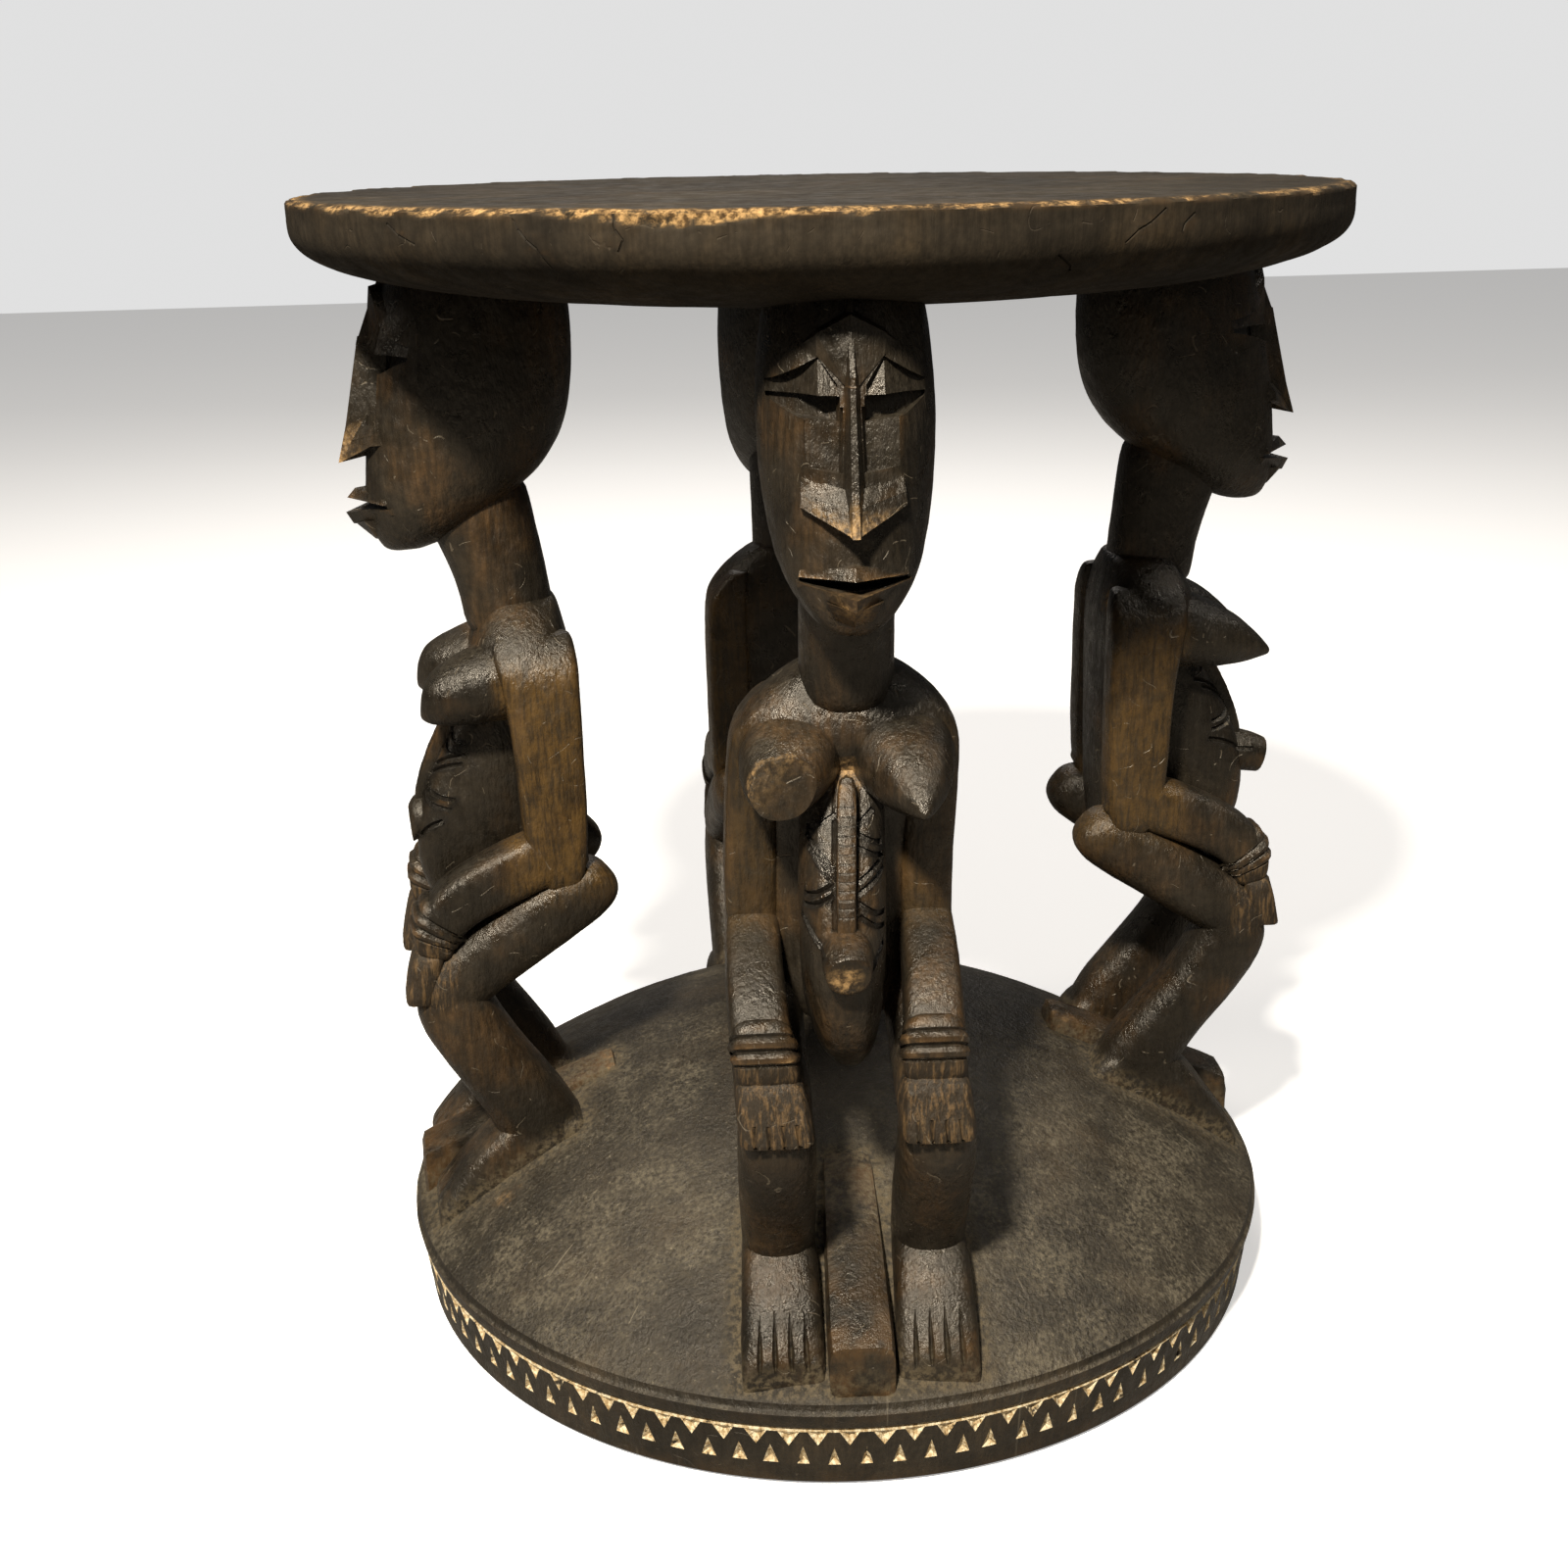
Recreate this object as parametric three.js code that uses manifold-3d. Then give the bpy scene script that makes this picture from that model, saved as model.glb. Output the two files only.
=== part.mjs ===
// Carved side table: a round dished top on the heads of four crouching women, on a domed base.
// It is cut from one block of dark wood, so it is one solid.
// Millimetres, +Z up, origin on the floor under the middle. The front woman faces -Y.
import * as THREE from "three";
import { mergeVertices } from "three/addons/utils/BufferGeometryUtils.js";
import Module from "manifold-3d";

const wasm = await Module();
wasm.setup();

// Driving dimensions of the base
const baseRadius = 220;
const shoulderHeight = 41;
const domeRise = 84;
const baseFootRadius = 214;
const rimBandTop = 31;
const notchDepth = 4;
const notchCount = 36;
const domeSteps = 5;

// Driving dimensions of the top
const tableHeight = 530;
const topRadius = 232;
const topEdgeThickness = 9;
const bowlDepth = 36;
const topSegments = 36;

// Driving dimensions of one woman, outward from the middle and up from the floor
const headWidth = 69;
const headBack = 110;
const faceFront = 206;
const chinHeight = 374;
const jawHeight = 406;
const eyeHeight = 462;
const noseTipHeight = 412;
const mouthHeight = 397;
const neckHalf = 19;
const backPlane = 124;
const shoulderTop = 349;
const shoulderCorner = 322;
const armOuter = 48;
const armInner = 25;
const armFront = 155;
const elbowHeight = 233;
const wristHeight = 202;
const handBottom = 163;
const kneeFront = 213;
const kneeHeight = 160;
const legCentre = 33;
const legHalf = 16;
const heelBack = 134;
const toeFront = 207;

// The four were carved by eye. Each has her own place round the middle and her own turn about
// herself, in degrees, and in millimetres her step outwards, the lift of her body between head and
// feet, and the sway of her belly to one side. One breast of the front woman was cut flat.
const women = [
  { quarter: 0, place: -5.8, turn: 0, step: 0, lift: 0, sway: -4, cutBreast: -1 },
  { quarter: 1, place: 2, turn: -6, step: 11, lift: 6, sway: 0, cutBreast: 0 },
  { quarter: 2, place: -0.7, turn: 0, step: 0, lift: -12, sway: 0, cutBreast: 0 },
  { quarter: 3, place: -0.6, turn: 5, step: 0, lift: 0, sway: 0, cutBreast: 0 },
];
const bodyCentre = 150;

// A closed body from rows of points, each row the same length, with flat ends
function loft(rows) {
  const count = rows[0].length;
  const faces = [
    ...bandFaces(rows.length, count, 0),
    ...capFaces(count, 0, true),
    ...capFaces(count, (rows.length - 1) * count, false),
  ];
  return solidFrom(rows.flat(), faces);
}

function bandFaces(rowCount, count, start) {
  const faces = [];
  for (let k = 0; k + 1 < rowCount; k++) {
    for (let i = 0; i < count; i++) {
      const a = start + k * count + i;
      const b = start + k * count + ((i + 1) % count);
      faces.push(a, b, b + count, a, b + count, a + count);
    }
  }
  return faces;
}

function capFaces(count, start, isFirst) {
  const faces = [];
  for (let i = 1; i + 1 < count; i++) {
    faces.push(start, start + (isFirst ? i + 1 : i), start + (isFirst ? i : i + 1));
  }
  return faces;
}

// Signed volume tells which way the faces point; they are turned outwards
function solidFrom(points, faces) {
  let volume = 0;
  for (let i = 0; i < faces.length; i += 3) {
    const [a, b, c] = [points[faces[i]], points[faces[i + 1]], points[faces[i + 2]]];
    volume += a.dot(b.clone().cross(c));
  }
  if (volume < 0) {
    faces.reverse();
  }
  const geometry = new THREE.BufferGeometry();
  geometry.setAttribute("position", new THREE.Float32BufferAttribute(points.flatMap((p) => [p.x, p.y, p.z]), 3));
  geometry.setIndex(faces);
  return toManifold(geometry);
}

function toManifold(geometry) {
  const bare = geometry.index ? geometry : geometry.clone();
  bare.deleteAttribute("normal");
  bare.deleteAttribute("uv");
  const merged = mergeVertices(bare, 1e-4);
  const mesh = new wasm.Mesh({
    numProp: 3,
    vertProperties: new Float32Array(merged.attributes.position.array),
    triVerts: new Uint32Array(merged.index.array),
  });
  return new wasm.Manifold(mesh);
}

function union(solids) {
  return solids.reduce((sum, next) => sum.add(next));
}

// One section of a limb or body: a rounded box of points, wide across x and deep along a leaning
// direction. Lean 0 lies flat and is deep outwards; lean 90 stands and is deep upwards.
function section(x, out, up, halfWidth, halfDepth, lean = 0, sides = 8, squareness = 0.7) {
  const angle = THREE.MathUtils.degToRad(lean);
  const row = [];
  for (let i = 0; i < sides; i++) {
    const turn = ((i + 0.5) / sides) * 2 * Math.PI;
    const across = halfWidth * Math.sign(Math.cos(turn)) * Math.abs(Math.cos(turn)) ** squareness;
    const deep = halfDepth * Math.sign(Math.sin(turn)) * Math.abs(Math.sin(turn)) ** squareness;
    row.push(new THREE.Vector3(x + across, -(out + deep * Math.cos(angle)), up + deep * Math.sin(angle)));
  }
  return row;
}

// A flat section given by its back and front
function level(up, back, front, halfWidth, x = 0, sides = 8, squareness = 0.7) {
  return section(x, (back + front) / 2, up, halfWidth, (front - back) / 2, 0, sides, squareness);
}

// An upright section given by its bottom and top
function slice(out, bottom, top, halfWidth, x = 0, sides = 6, squareness = 0.6) {
  return section(x, out, (bottom + top) / 2, halfWidth, (top - bottom) / 2, 90, sides, squareness);
}

// The dome's surface at a distance from the middle
function domeHeight(out) {
  return shoulderHeight + domeRise * (1 - (out / baseRadius) ** 2);
}

// Head: a long oval with a slanting jaw, seen from above nearly as deep as it is high
function head() {
  const half = headWidth / 2;
  const round = (up, back, front, share) => level(up, back, front, half * share, 0, 10);
  return loft([
    round(chinHeight, faceFront - 14, faceFront - 4, 0.18),
    round(chinHeight + 9, faceFront - 34, faceFront, 0.5),
    round(mouthHeight, headBack + 32, faceFront, 0.76),
    round(jawHeight, headBack + 13, faceFront - 1, 0.88),
    round(jawHeight + 25, headBack + 3, faceFront - 3, 0.98),
    round(eyeHeight - 5, headBack, faceFront - 6, 1),
    round(tableHeight - 30, headBack + 4, faceFront - 20, 0.84),
  ]);
}

// A four-sided wedge between two edges, for nose, lids and lips
function wedge(corners) {
  const points = corners.map(([x, out, up]) => new THREE.Vector3(x, -out, up));
  const rows = [points.slice(0, 4), points.slice(4, 8)];
  return loft(rows);
}

function nose() {
  const tip = faceFront + 14;
  const bridge = wedge([
    [-3, faceFront - 14, eyeHeight + 22], [3, faceFront - 14, eyeHeight + 22],
    [2, faceFront - 7, eyeHeight + 22], [-2, faceFront - 7, eyeHeight + 22],
    [-7, faceFront - 8, noseTipHeight + 8], [7, faceFront - 8, noseTipHeight + 8],
    [3, tip - 1, noseTipHeight + 5], [-3, tip - 1, noseTipHeight + 5],
  ]);
  const wings = (side) => wedge([
    [0, faceFront - 10, noseTipHeight + 24], [0, faceFront - 10, noseTipHeight + 4],
    [0, tip, noseTipHeight], [0, faceFront + 6, noseTipHeight + 24],
    [side * 20, faceFront - 12, noseTipHeight + 20], [side * 20, faceFront - 12, noseTipHeight + 12],
    [side * 19, faceFront - 5, noseTipHeight + 12], [side * 19, faceFront - 7, noseTipHeight + 20],
  ]);
  return union([bridge, wings(-1), wings(1)]);
}

// The brow is a deep notch over each lid; the lid below it is a lens with a slit under it
function eyeCut(side) {
  return wedge([
    [side * 4, faceFront + 2, eyeHeight + 13], [side * 4, faceFront + 2, eyeHeight - 6],
    [side * 4, faceFront - 10, eyeHeight - 2], [side * 4, faceFront - 10, eyeHeight + 8],
    [side * 30, faceFront + 2, eyeHeight + 10], [side * 30, faceFront + 2, eyeHeight - 8],
    [side * 30, faceFront - 22, eyeHeight - 4], [side * 30, faceFront - 22, eyeHeight + 6],
  ]);
}

function eyelid(side) {
  return wedge([
    [side * 2, faceFront - 11, eyeHeight + 8], [side * 2, faceFront - 11, eyeHeight - 1],
    [side * 2, faceFront - 7, eyeHeight - 1], [side * 2, faceFront - 8, eyeHeight + 2],
    [side * 28, faceFront - 22, eyeHeight + 8], [side * 28, faceFront - 22, eyeHeight],
    [side * 26, faceFront - 13, eyeHeight], [side * 26, faceFront - 14, eyeHeight + 2],
  ]);
}

function mouth() {
  const lip = (side, from, to, rise) => wedge([
    [side * 20, faceFront - 12, from], [side * 20, faceFront - 12, from + 1],
    [side * 20, faceFront - 9, from + 1], [side * 20, faceFront - 9, from],
    [0, faceFront - 8, to], [0, faceFront - 8, to + rise],
    [0, faceFront + 6, to + rise], [0, faceFront + 5, to],
  ]);
  return union([-1, 1].flatMap((side) => [
    lip(side, mouthHeight, mouthHeight - 1, 4), lip(side, mouthHeight - 2, mouthHeight - 9, 6),
  ]));
}

// Neck and trunk: a slab between the arms, with sloping shoulders
function trunk() {
  const neck = loft([
    level(shoulderTop - 12, backPlane + 6, 170, neckHalf + 2),
    level(shoulderTop + 8, backPlane + 7, 172, neckHalf),
    level(jawHeight + 4, backPlane + 10, 180, neckHalf),
  ]);
  const slab = loft([
    level(186, backPlane + 12, 166, 14),
    level(205, backPlane, 166, 27),
    level(280, backPlane, armFront + 2, 29),
    level(shoulderCorner - 8, backPlane, armFront + 6, armOuter - 4),
    level(shoulderCorner + 4, backPlane + 1, armFront + 8, armOuter - 8),
    level(shoulderTop - 6, backPlane + 4, armFront + 6, neckHalf + 3),
  ]);
  return union([neck, slab]);
}

// Belly: it swells forward to the navel and runs out in a point between the thighs
function belly() {
  const body = loft([
    level(182, 160, 178, 4),
    level(196, 145, 193, 13),
    level(218, 140, 201, 17),
    level(240, 140, 203, 18),
    level(272, 140, 193, 18),
    level(312, 140, 166, 15),
  ]);
  const ridge = loft([
    section(0, 200, 240, 4, 6, 20, 4, 1),
    section(0, 192, 272, 4, 6, 30, 4, 1),
    section(0, 168, 306, 4, 6, 40, 4, 1),
  ]);
  const navel = loft([
    section(0, 188, 245, 11, 11, 90, 8, 1),
    section(0, 211, 241, 10, 10, 75, 8, 1),
  ]);
  return union([body, ridge, navel]);
}

// One breast: a cone that points out and a little down; a cut one ends in a flat
function breast(side, isCut) {
  const rings = [
    section(side * 23, 148, 326, 22, 23, 80, 8, 0.9),
    section(side * 24, 168, 319, 20, 20, 78, 8, 0.9),
    section(side * 26, 187, 310, 13, 12, 76, 8, 0.9),
  ];
  if (!isCut) {
    rings.push(section(side * 26, 202, 306, 2.5, 2.5, 78, 8, 1));
  }
  return loft(rings);
}

// Upper arm, forearm on the thigh, bracelets and the hand over the knee
function arm(side) {
  const x = (side * (armOuter + armInner)) / 2;
  const half = (armOuter - armInner) / 2;
  const upper = loft([
    level(elbowHeight - 8, backPlane + 3, armFront - 6, half - 1, x, 6, 0.45),
    level(elbowHeight + 6, backPlane, armFront - 2, half, x, 6, 0.45),
    level(shoulderCorner - 6, backPlane, armFront + 4, half, x, 6, 0.45),
    level(shoulderCorner + 8, backPlane + 2, armFront + 4, half - 4, x - side * 5, 8, 0.45),
  ]);
  const wrist = [0, 4, 8].map((step, i) => (
    section(side * 35, 194 + step, wristHeight + 10 - step * 2.2, 13 + (i % 2) * 1.8, 12 + (i % 2) * 1.8, 20, 6, 0.6)
  ));
  const fore = loft([
    section(x, 138, elbowHeight + 4, half, 13, 62, 6, 0.6),
    section(x, 168, elbowHeight - 9, half + 1, 14, 60, 6, 0.6),
    section(side * 35, 188, wristHeight + 14, 13, 13, 45, 6, 0.6),
    ...wrist,
    section(side * 34, 203, wristHeight - 14, 15, 10, 5, 6, 0.5),
    section(side * 34, 206, handBottom, 15, 6, 0, 6, 0.5),
  ]);
  return union([upper, fore]);
}

// Thigh forward and down to the knee, shin back under it to the foot on the dome
function leg(side) {
  const x = side * legCentre;
  const thigh = loft([
    section(x, 118, 216, 10, 9, 52, 6),
    section(x, 126, 213, legHalf, 17, 52, 6),
    section(x, 196, 168, legHalf, 17, 58, 6),
  ]);
  const shin = loft([
    level(kneeHeight + 14, 184, kneeFront - 9, legHalf - 3, x, 6),
    level(kneeHeight, 174, kneeFront, legHalf, x, 6),
    level(kneeHeight - 30, 154, kneeFront - 14, legHalf, x, 6),
    level(96, heelBack + 2, 180, legHalf - 2, x, 6),
    level(76, heelBack, 176, legHalf - 2, x, 6),
  ]);
  const under = 14;
  const foot = loft([
    slice(heelBack - 1, domeHeight(heelBack) - under, 88, legHalf - 4, x),
    slice(heelBack + 8, domeHeight(heelBack + 8) - under, 95, legHalf - 1, x),
    slice(176, domeHeight(176) - under, 90, legHalf, x, 6),
    slice(192, domeHeight(192) - under, 74, legHalf + 1.5, x),
    slice(toeFront - 6, domeHeight(toeFront - 6) - under, 61, legHalf + 2, x),
    slice(toeFront, domeHeight(toeFront) - under, 55, legHalf, x, 6),
  ]);
  return union([thigh, shin, foot]);
}

// A plain bar lies on the dome between the feet
function bar() {
  return loft([
    slice(112, 84, domeHeight(112) + 6, 13, 0, 4, 0.2),
    slice(212, 36, 69, 15, 0, 4, 0.2),
  ]);
}

function woman(cutBreast) {
  const face = head().subtract(eyeCut(-1)).subtract(eyeCut(1));
  const sides = [-1, 1].flatMap((side) => [eyelid(side), breast(side, side === cutBreast), arm(side), leg(side)]);
  return union([face, nose(), mouth(), trunk(), belly(), bar(), ...sides]);
}

function smooth(from, to, value) {
  return THREE.MathUtils.smoothstep(value, from, to);
}

// Sets a woman in her place. The step leaves the feet where they are; the lift and the sway leave
// the feet and the top of the head
function placed(solid, spot) {
  const geometry = toGeometry(solid);
  const position = geometry.attributes.position;
  for (let i = 0; i < position.count; i++) {
    const up = position.getZ(i);
    position.setZ(i, up + spot.lift * smooth(55, 110, up) * (1 - smooth(400, 480, up)));
    position.setY(i, position.getY(i) - spot.step * smooth(70, 150, up));
    position.setX(i, position.getX(i) + spot.sway * smooth(150, 220, up) * (1 - smooth(250, 350, up)));
  }
  geometry.translate(0, bodyCentre, 0);
  geometry.rotateZ(THREE.MathUtils.degToRad(spot.turn));
  geometry.translate(0, -bodyCentre, 0);
  geometry.rotateZ(THREE.MathUtils.degToRad(spot.quarter * 90 + spot.place));
  return toManifold(geometry);
}

function toGeometry(solid) {
  const mesh = solid.getMesh();
  const geometry = new THREE.BufferGeometry();
  geometry.setAttribute("position", new THREE.BufferAttribute(mesh.vertProperties, 3));
  geometry.setIndex(new THREE.BufferAttribute(mesh.triVerts, 1));
  return geometry;
}

// Base: a rim cut all round with two rows of notches, under a dome with half as many points around
function base() {
  const around = notchCount * 2;
  const middle = rimBandTop / 2;
  const rows = [
    circleRow(baseFootRadius, 0, around),
    circleRow(baseFootRadius + 1, middle / 2, around, 0),
    circleRow(baseFootRadius + 2, middle, around),
    circleRow(baseFootRadius + 2, (middle + rimBandTop) / 2, around, 1),
    circleRow(baseFootRadius + 3, rimBandTop, around),
    circleRow(baseRadius, shoulderHeight - 3, around),
  ];
  const domeRows = [];
  for (let i = 0; i < domeSteps; i++) {
    const out = (baseRadius - 3) * (1 - i / domeSteps);
    domeRows.push(circleRow(out, domeHeight(out), notchCount));
  }
  return twoLofts(rows, domeRows);
}

// Points round a circle; on a notched row every second point is cut in
function circleRow(radius, up, around, cutOn = -1) {
  const row = [];
  for (let i = 0; i < around; i++) {
    const angle = (i / around) * 2 * Math.PI;
    const out = radius - (i % 2 === cutOn ? notchDepth : 0);
    row.push(new THREE.Vector3(out * Math.cos(angle), out * Math.sin(angle), up));
  }
  return row;
}

// Joins rows of 2n points to rows of n points above them, with flat ends
function twoLofts(lower, upper) {
  const wide = lower[0].length;
  const narrow = upper[0].length;
  const faces = [...bandFaces(lower.length, wide, 0)];
  const seam = (lower.length - 1) * wide;
  const start = lower.length * wide;
  for (let i = 0; i < narrow; i++) {
    const [a, b, c] = [2 * i, 2 * i + 1, (2 * i + 2) % wide].map((k) => seam + k);
    const [d, e] = [start + i, start + ((i + 1) % narrow)];
    faces.push(a, b, d, b, c, e, b, e, d);
  }
  faces.push(...bandFaces(upper.length, narrow, start));
  faces.push(...capFaces(wide, 0, true));
  faces.push(...capFaces(narrow, start + (upper.length - 1) * narrow, false));
  return solidFrom([...lower.flat(), ...upper.flat()], faces);
}

// Top: flat above, a shallow bowl beneath, with a worn square edge
function top() {
  const edgeLow = tableHeight - topEdgeThickness;
  const profile = [new THREE.Vector2(0, edgeLow - bowlDepth)];
  for (let i = 1; i <= 5; i++) {
    const turn = (i / 5) * (Math.PI / 2);
    const out = topRadius * Math.sin(turn) ** 0.8;
    const drop = bowlDepth * Math.cos(turn) ** 0.7;
    profile.push(new THREE.Vector2(out, edgeLow - drop));
  }
  profile.push(new THREE.Vector2(topRadius, tableHeight - 2));
  profile.push(new THREE.Vector2(topRadius - 2, tableHeight));
  profile.push(new THREE.Vector2(0, tableHeight));
  return turned(profile, topSegments);
}

// A lathe turns about y; here the part turns about z
function turned(profile, segments) {
  const geometry = new THREE.LatheGeometry(profile, segments);
  geometry.rotateX(Math.PI / 2);
  const solid = toManifold(geometry);
  return solid;
}

const block = women.map((spot) => placed(woman(spot.cutBreast), spot));
const whole = union([base(), top(), ...block]);

function toMesh(solid, name, material) {
  const result = new THREE.Mesh(toGeometry(solid), material);
  result.name = name;
  return result;
}

const darkWood = new THREE.MeshStandardMaterial({ color: 0x2e2218, roughness: 0.5, metalness: 0 });
const table = new THREE.Group();
table.add(toMesh(whole, "carved_table", darkWood));

export default table;
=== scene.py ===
# %% [markdown]
# # A carved side table, from frame to finish
# The table is cut from one block of hard wood: a round top with a dished underside stands on the
# heads of four crouching women, who stand on a domed base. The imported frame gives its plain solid.
# This lesson carves the fine forms around that solid, in metres, at the same place.

import math
import random

import bpy
import numpy as np
from mathutils import Matrix, Vector, noise
from mathutils.bvhtree import BVHTree


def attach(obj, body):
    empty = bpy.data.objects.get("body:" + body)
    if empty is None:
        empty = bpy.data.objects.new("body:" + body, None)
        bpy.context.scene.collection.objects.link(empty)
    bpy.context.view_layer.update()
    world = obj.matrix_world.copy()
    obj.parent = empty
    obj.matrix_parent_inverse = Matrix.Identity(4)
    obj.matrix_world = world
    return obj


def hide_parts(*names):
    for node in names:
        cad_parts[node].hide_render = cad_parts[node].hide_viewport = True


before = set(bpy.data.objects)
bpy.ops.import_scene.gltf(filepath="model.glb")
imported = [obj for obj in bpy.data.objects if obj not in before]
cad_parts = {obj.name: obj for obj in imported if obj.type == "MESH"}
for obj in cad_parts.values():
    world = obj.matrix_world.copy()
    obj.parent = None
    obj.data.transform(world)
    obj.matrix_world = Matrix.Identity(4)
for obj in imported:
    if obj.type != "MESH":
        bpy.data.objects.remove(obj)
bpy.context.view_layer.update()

# %% [markdown]
# ## The viewpoint
# The picture is taken from a little left of the front woman, from just above the top, looking
# down. A camera matrix built from three directions keeps its small roll as well.

# %% Camera
PICTURE = 1600
PICTURE_FOCUS = 1900
PICTURE_MIDDLE = (835.5, 797)
SENSOR = 36
camera_place = Vector((-0.1321, -0.8634, 0.5544))
heading = math.radians(8.375)
pitch = math.radians(19.35)
roll = math.radians(-0.98)

ahead = math.cos(pitch)
forward = Vector((math.sin(heading) * ahead, math.cos(heading) * ahead, -math.sin(pitch)))
level_right = Vector((math.cos(heading), -math.sin(heading), 0))
level_up = level_right.cross(forward)
camera_right = math.cos(roll) * level_right + math.sin(roll) * level_up
camera_up = math.cos(roll) * level_up - math.sin(roll) * level_right

bpy.ops.object.select_all(action="DESELECT")
bpy.ops.object.camera_add(location=camera_place)
camera = bpy.context.object
facing = Matrix((camera_right, camera_up, -forward)).transposed().to_4x4()
camera.matrix_world = Matrix.Translation(camera_place) @ facing
camera.data.sensor_width = SENSOR
camera.data.lens = SENSOR * PICTURE_FOCUS / PICTURE
camera.data.shift_x = -(PICTURE_MIDDLE[0] - PICTURE / 2) / PICTURE
camera.data.shift_y = (PICTURE_MIDDLE[1] - PICTURE / 2) / PICTURE
camera.data.clip_start = 0.05
bpy.context.scene.camera = camera
print("camera", tuple(round(v, 3) for v in camera.location), "lens", round(camera.data.lens, 2))

# %% [markdown]
# ## Carving helpers
# Every limb starts as one ring of points that is pushed, scaled and leaned from section to section,
# as a carver thinks of a limb in slices. A lump like this could be sculpted, but sections keep its
# sizes exact. With no window the rotate operator turns the other way, so the angle changes sign.

# %% Select, move, turn and finish
MM = 0.001


def select_only(*pieces):
    bpy.ops.object.select_all(action="DESELECT")
    for piece in pieces:
        piece.select_set(True)
    bpy.context.view_layer.objects.active = pieces[0]


def turn(degrees, axis, centre=(0, 0, 0)):
    bpy.ops.transform.rotate(value=-math.radians(degrees), orient_axis=axis, center_override=centre)


def move(x, y, z):
    bpy.ops.transform.translate(value=(x * MM, y * MM, z * MM))


def scale(x, y, z=1):
    bpy.ops.transform.resize(value=(x, y, z), center_override=(0, 0, 0))


def face_outwards():
    """Turns every normal outwards and leaves edit mode."""
    bpy.ops.mesh.select_all(action="SELECT")
    bpy.ops.mesh.normals_make_consistent(inside=False)
    bpy.ops.object.mode_set(mode="OBJECT")


def apply_modifier(piece, kind, **settings):
    select_only(piece)
    modifier = piece.modifiers.new(kind.title(), kind)
    for key, value in settings.items():
        setattr(modifier, key, value)
    bpy.ops.object.modifier_apply(modifier=modifier.name)


def join(name, pieces):
    select_only(*pieces)
    bpy.ops.object.join()
    pieces[0].name = name
    return pieces[0]


# %% Push a ring from section to section
SWELL = {8: 1.1, 10: 1.07, 12: 1.045}


def whittle(name, sections, squareness=1.33, sides=8, rounds=2):
    """Sections are (x, outward, up, half width, half depth, lean); lean 90 stands upright.
    Subdivision draws a ring inwards, so it starts a little too wide."""
    bpy.ops.object.select_all(action="DESELECT")
    bpy.ops.mesh.primitive_circle_add(
        vertices=sides, radius=MM, fill_type="NGON", enter_editmode=True, location=(0, 0, 0))
    piece = bpy.context.object
    piece.name = name
    turn(180 / sides, "Z")
    square_ring(piece, squareness)
    start = 1 / SWELL[sides] if rounds else 1
    before = (0, 0, 0, start, start, 0)
    for step, now in enumerate(sections):
        if step:
            bpy.ops.mesh.extrude_region_move()
        move(-before[0], before[1], -before[2])
        turn(before[5], "X")
        scale(now[3] / before[3], now[4] / before[4])
        turn(-now[5], "X")
        move(now[0], -now[1], now[2])
        before = now
    face_outwards()
    if rounds:
        apply_modifier(piece, "SUBSURF", levels=rounds, render_levels=rounds)
    return piece


def square_ring(piece, amount):
    """Spreads the points of the ring towards the corners of a box."""
    for flat in (True, False):
        bpy.ops.mesh.select_mode(type="VERT")
        bpy.ops.mesh.select_all(action="DESELECT")
        bpy.ops.object.mode_set(mode="OBJECT")
        for vertex in piece.data.vertices:
            vertex.select = (abs(vertex.co.x) < abs(vertex.co.y)) == flat
        bpy.ops.object.mode_set(mode="EDIT")
        scale(amount if flat else 1, 1 if flat else amount)
    bpy.ops.mesh.select_all(action="SELECT")


def level(up, back, front, half_width, x=0):
    """A flat section given by its back and front."""
    return (x, (back + front) / 2, up, half_width, (front - back) / 2, 0)


def slice_of(out, bottom, top, half_width, x=0):
    """An upright section given by its bottom and top."""
    return (x, out, (bottom + top) / 2, half_width, (top - bottom) / 2, 90)


# %% A block moved corner by corner
CUBE_ORDER = (0, 1, 3, 2, 4, 5, 7, 6)


def drag_corners(piece, order, places):
    """Selects one corner after the other and moves it to its place, (x, outward, up)."""
    starts = [vertex.co.copy() for vertex in piece.data.vertices]
    for i, (x, out, up) in zip(order, places):
        start = starts[i]
        bpy.ops.object.mode_set(mode="EDIT")
        bpy.ops.mesh.select_all(action="DESELECT")
        bpy.ops.object.mode_set(mode="OBJECT")
        piece.data.vertices[i].select = True
        bpy.ops.object.mode_set(mode="EDIT")
        bpy.ops.transform.translate(value=(x * MM - start.x, -out * MM - start.y, up * MM - start.z))
    face_outwards()


def chip(corners):
    """A six-sided block; the first four corners are one end of it, the rest the other."""
    bpy.ops.object.select_all(action="DESELECT")
    bpy.ops.mesh.primitive_cube_add(size=MM, location=(0, 0, 0))
    piece = bpy.context.object
    drag_corners(piece, CUBE_ORDER, corners)
    return piece


# %% [markdown]
# ## One woman
# All four women are carved alike, so one is made and copied. On the real table she is part of the
# block: flat slabs for the arms, a long oval head, a swelling belly. Each form is whittled alone
# and then joined to the rest with a boolean, which keeps the sharp creases a knife leaves. A voxel
# remesh would fuse them too, but it rounds every crease.

# %% Head and neck
def head():
    return whittle("head", [
        level(374, 187, 199, 4), level(376, 180, 203, 11), level(384, 162, 206, 20),
        level(396, 143, 206.5, 27), level(410, 124, 205, 31), level(432, 112, 203, 34),
        level(458, 109, 200, 34.8), level(482, 109, 194, 32.5), level(500, 112, 187, 29),
        level(514, 114, 184, 27),
    ], squareness=1.1, sides=12, rounds=3)


def neck():
    return whittle("neck", [
        level(330, 130, 170, 20), level(346, 130, 172, 19.6), level(362, 131, 174, 19.4),
        level(390, 132, 182, 19.4), level(412, 134, 186, 19),
    ], squareness=1.15, sides=12)


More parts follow.
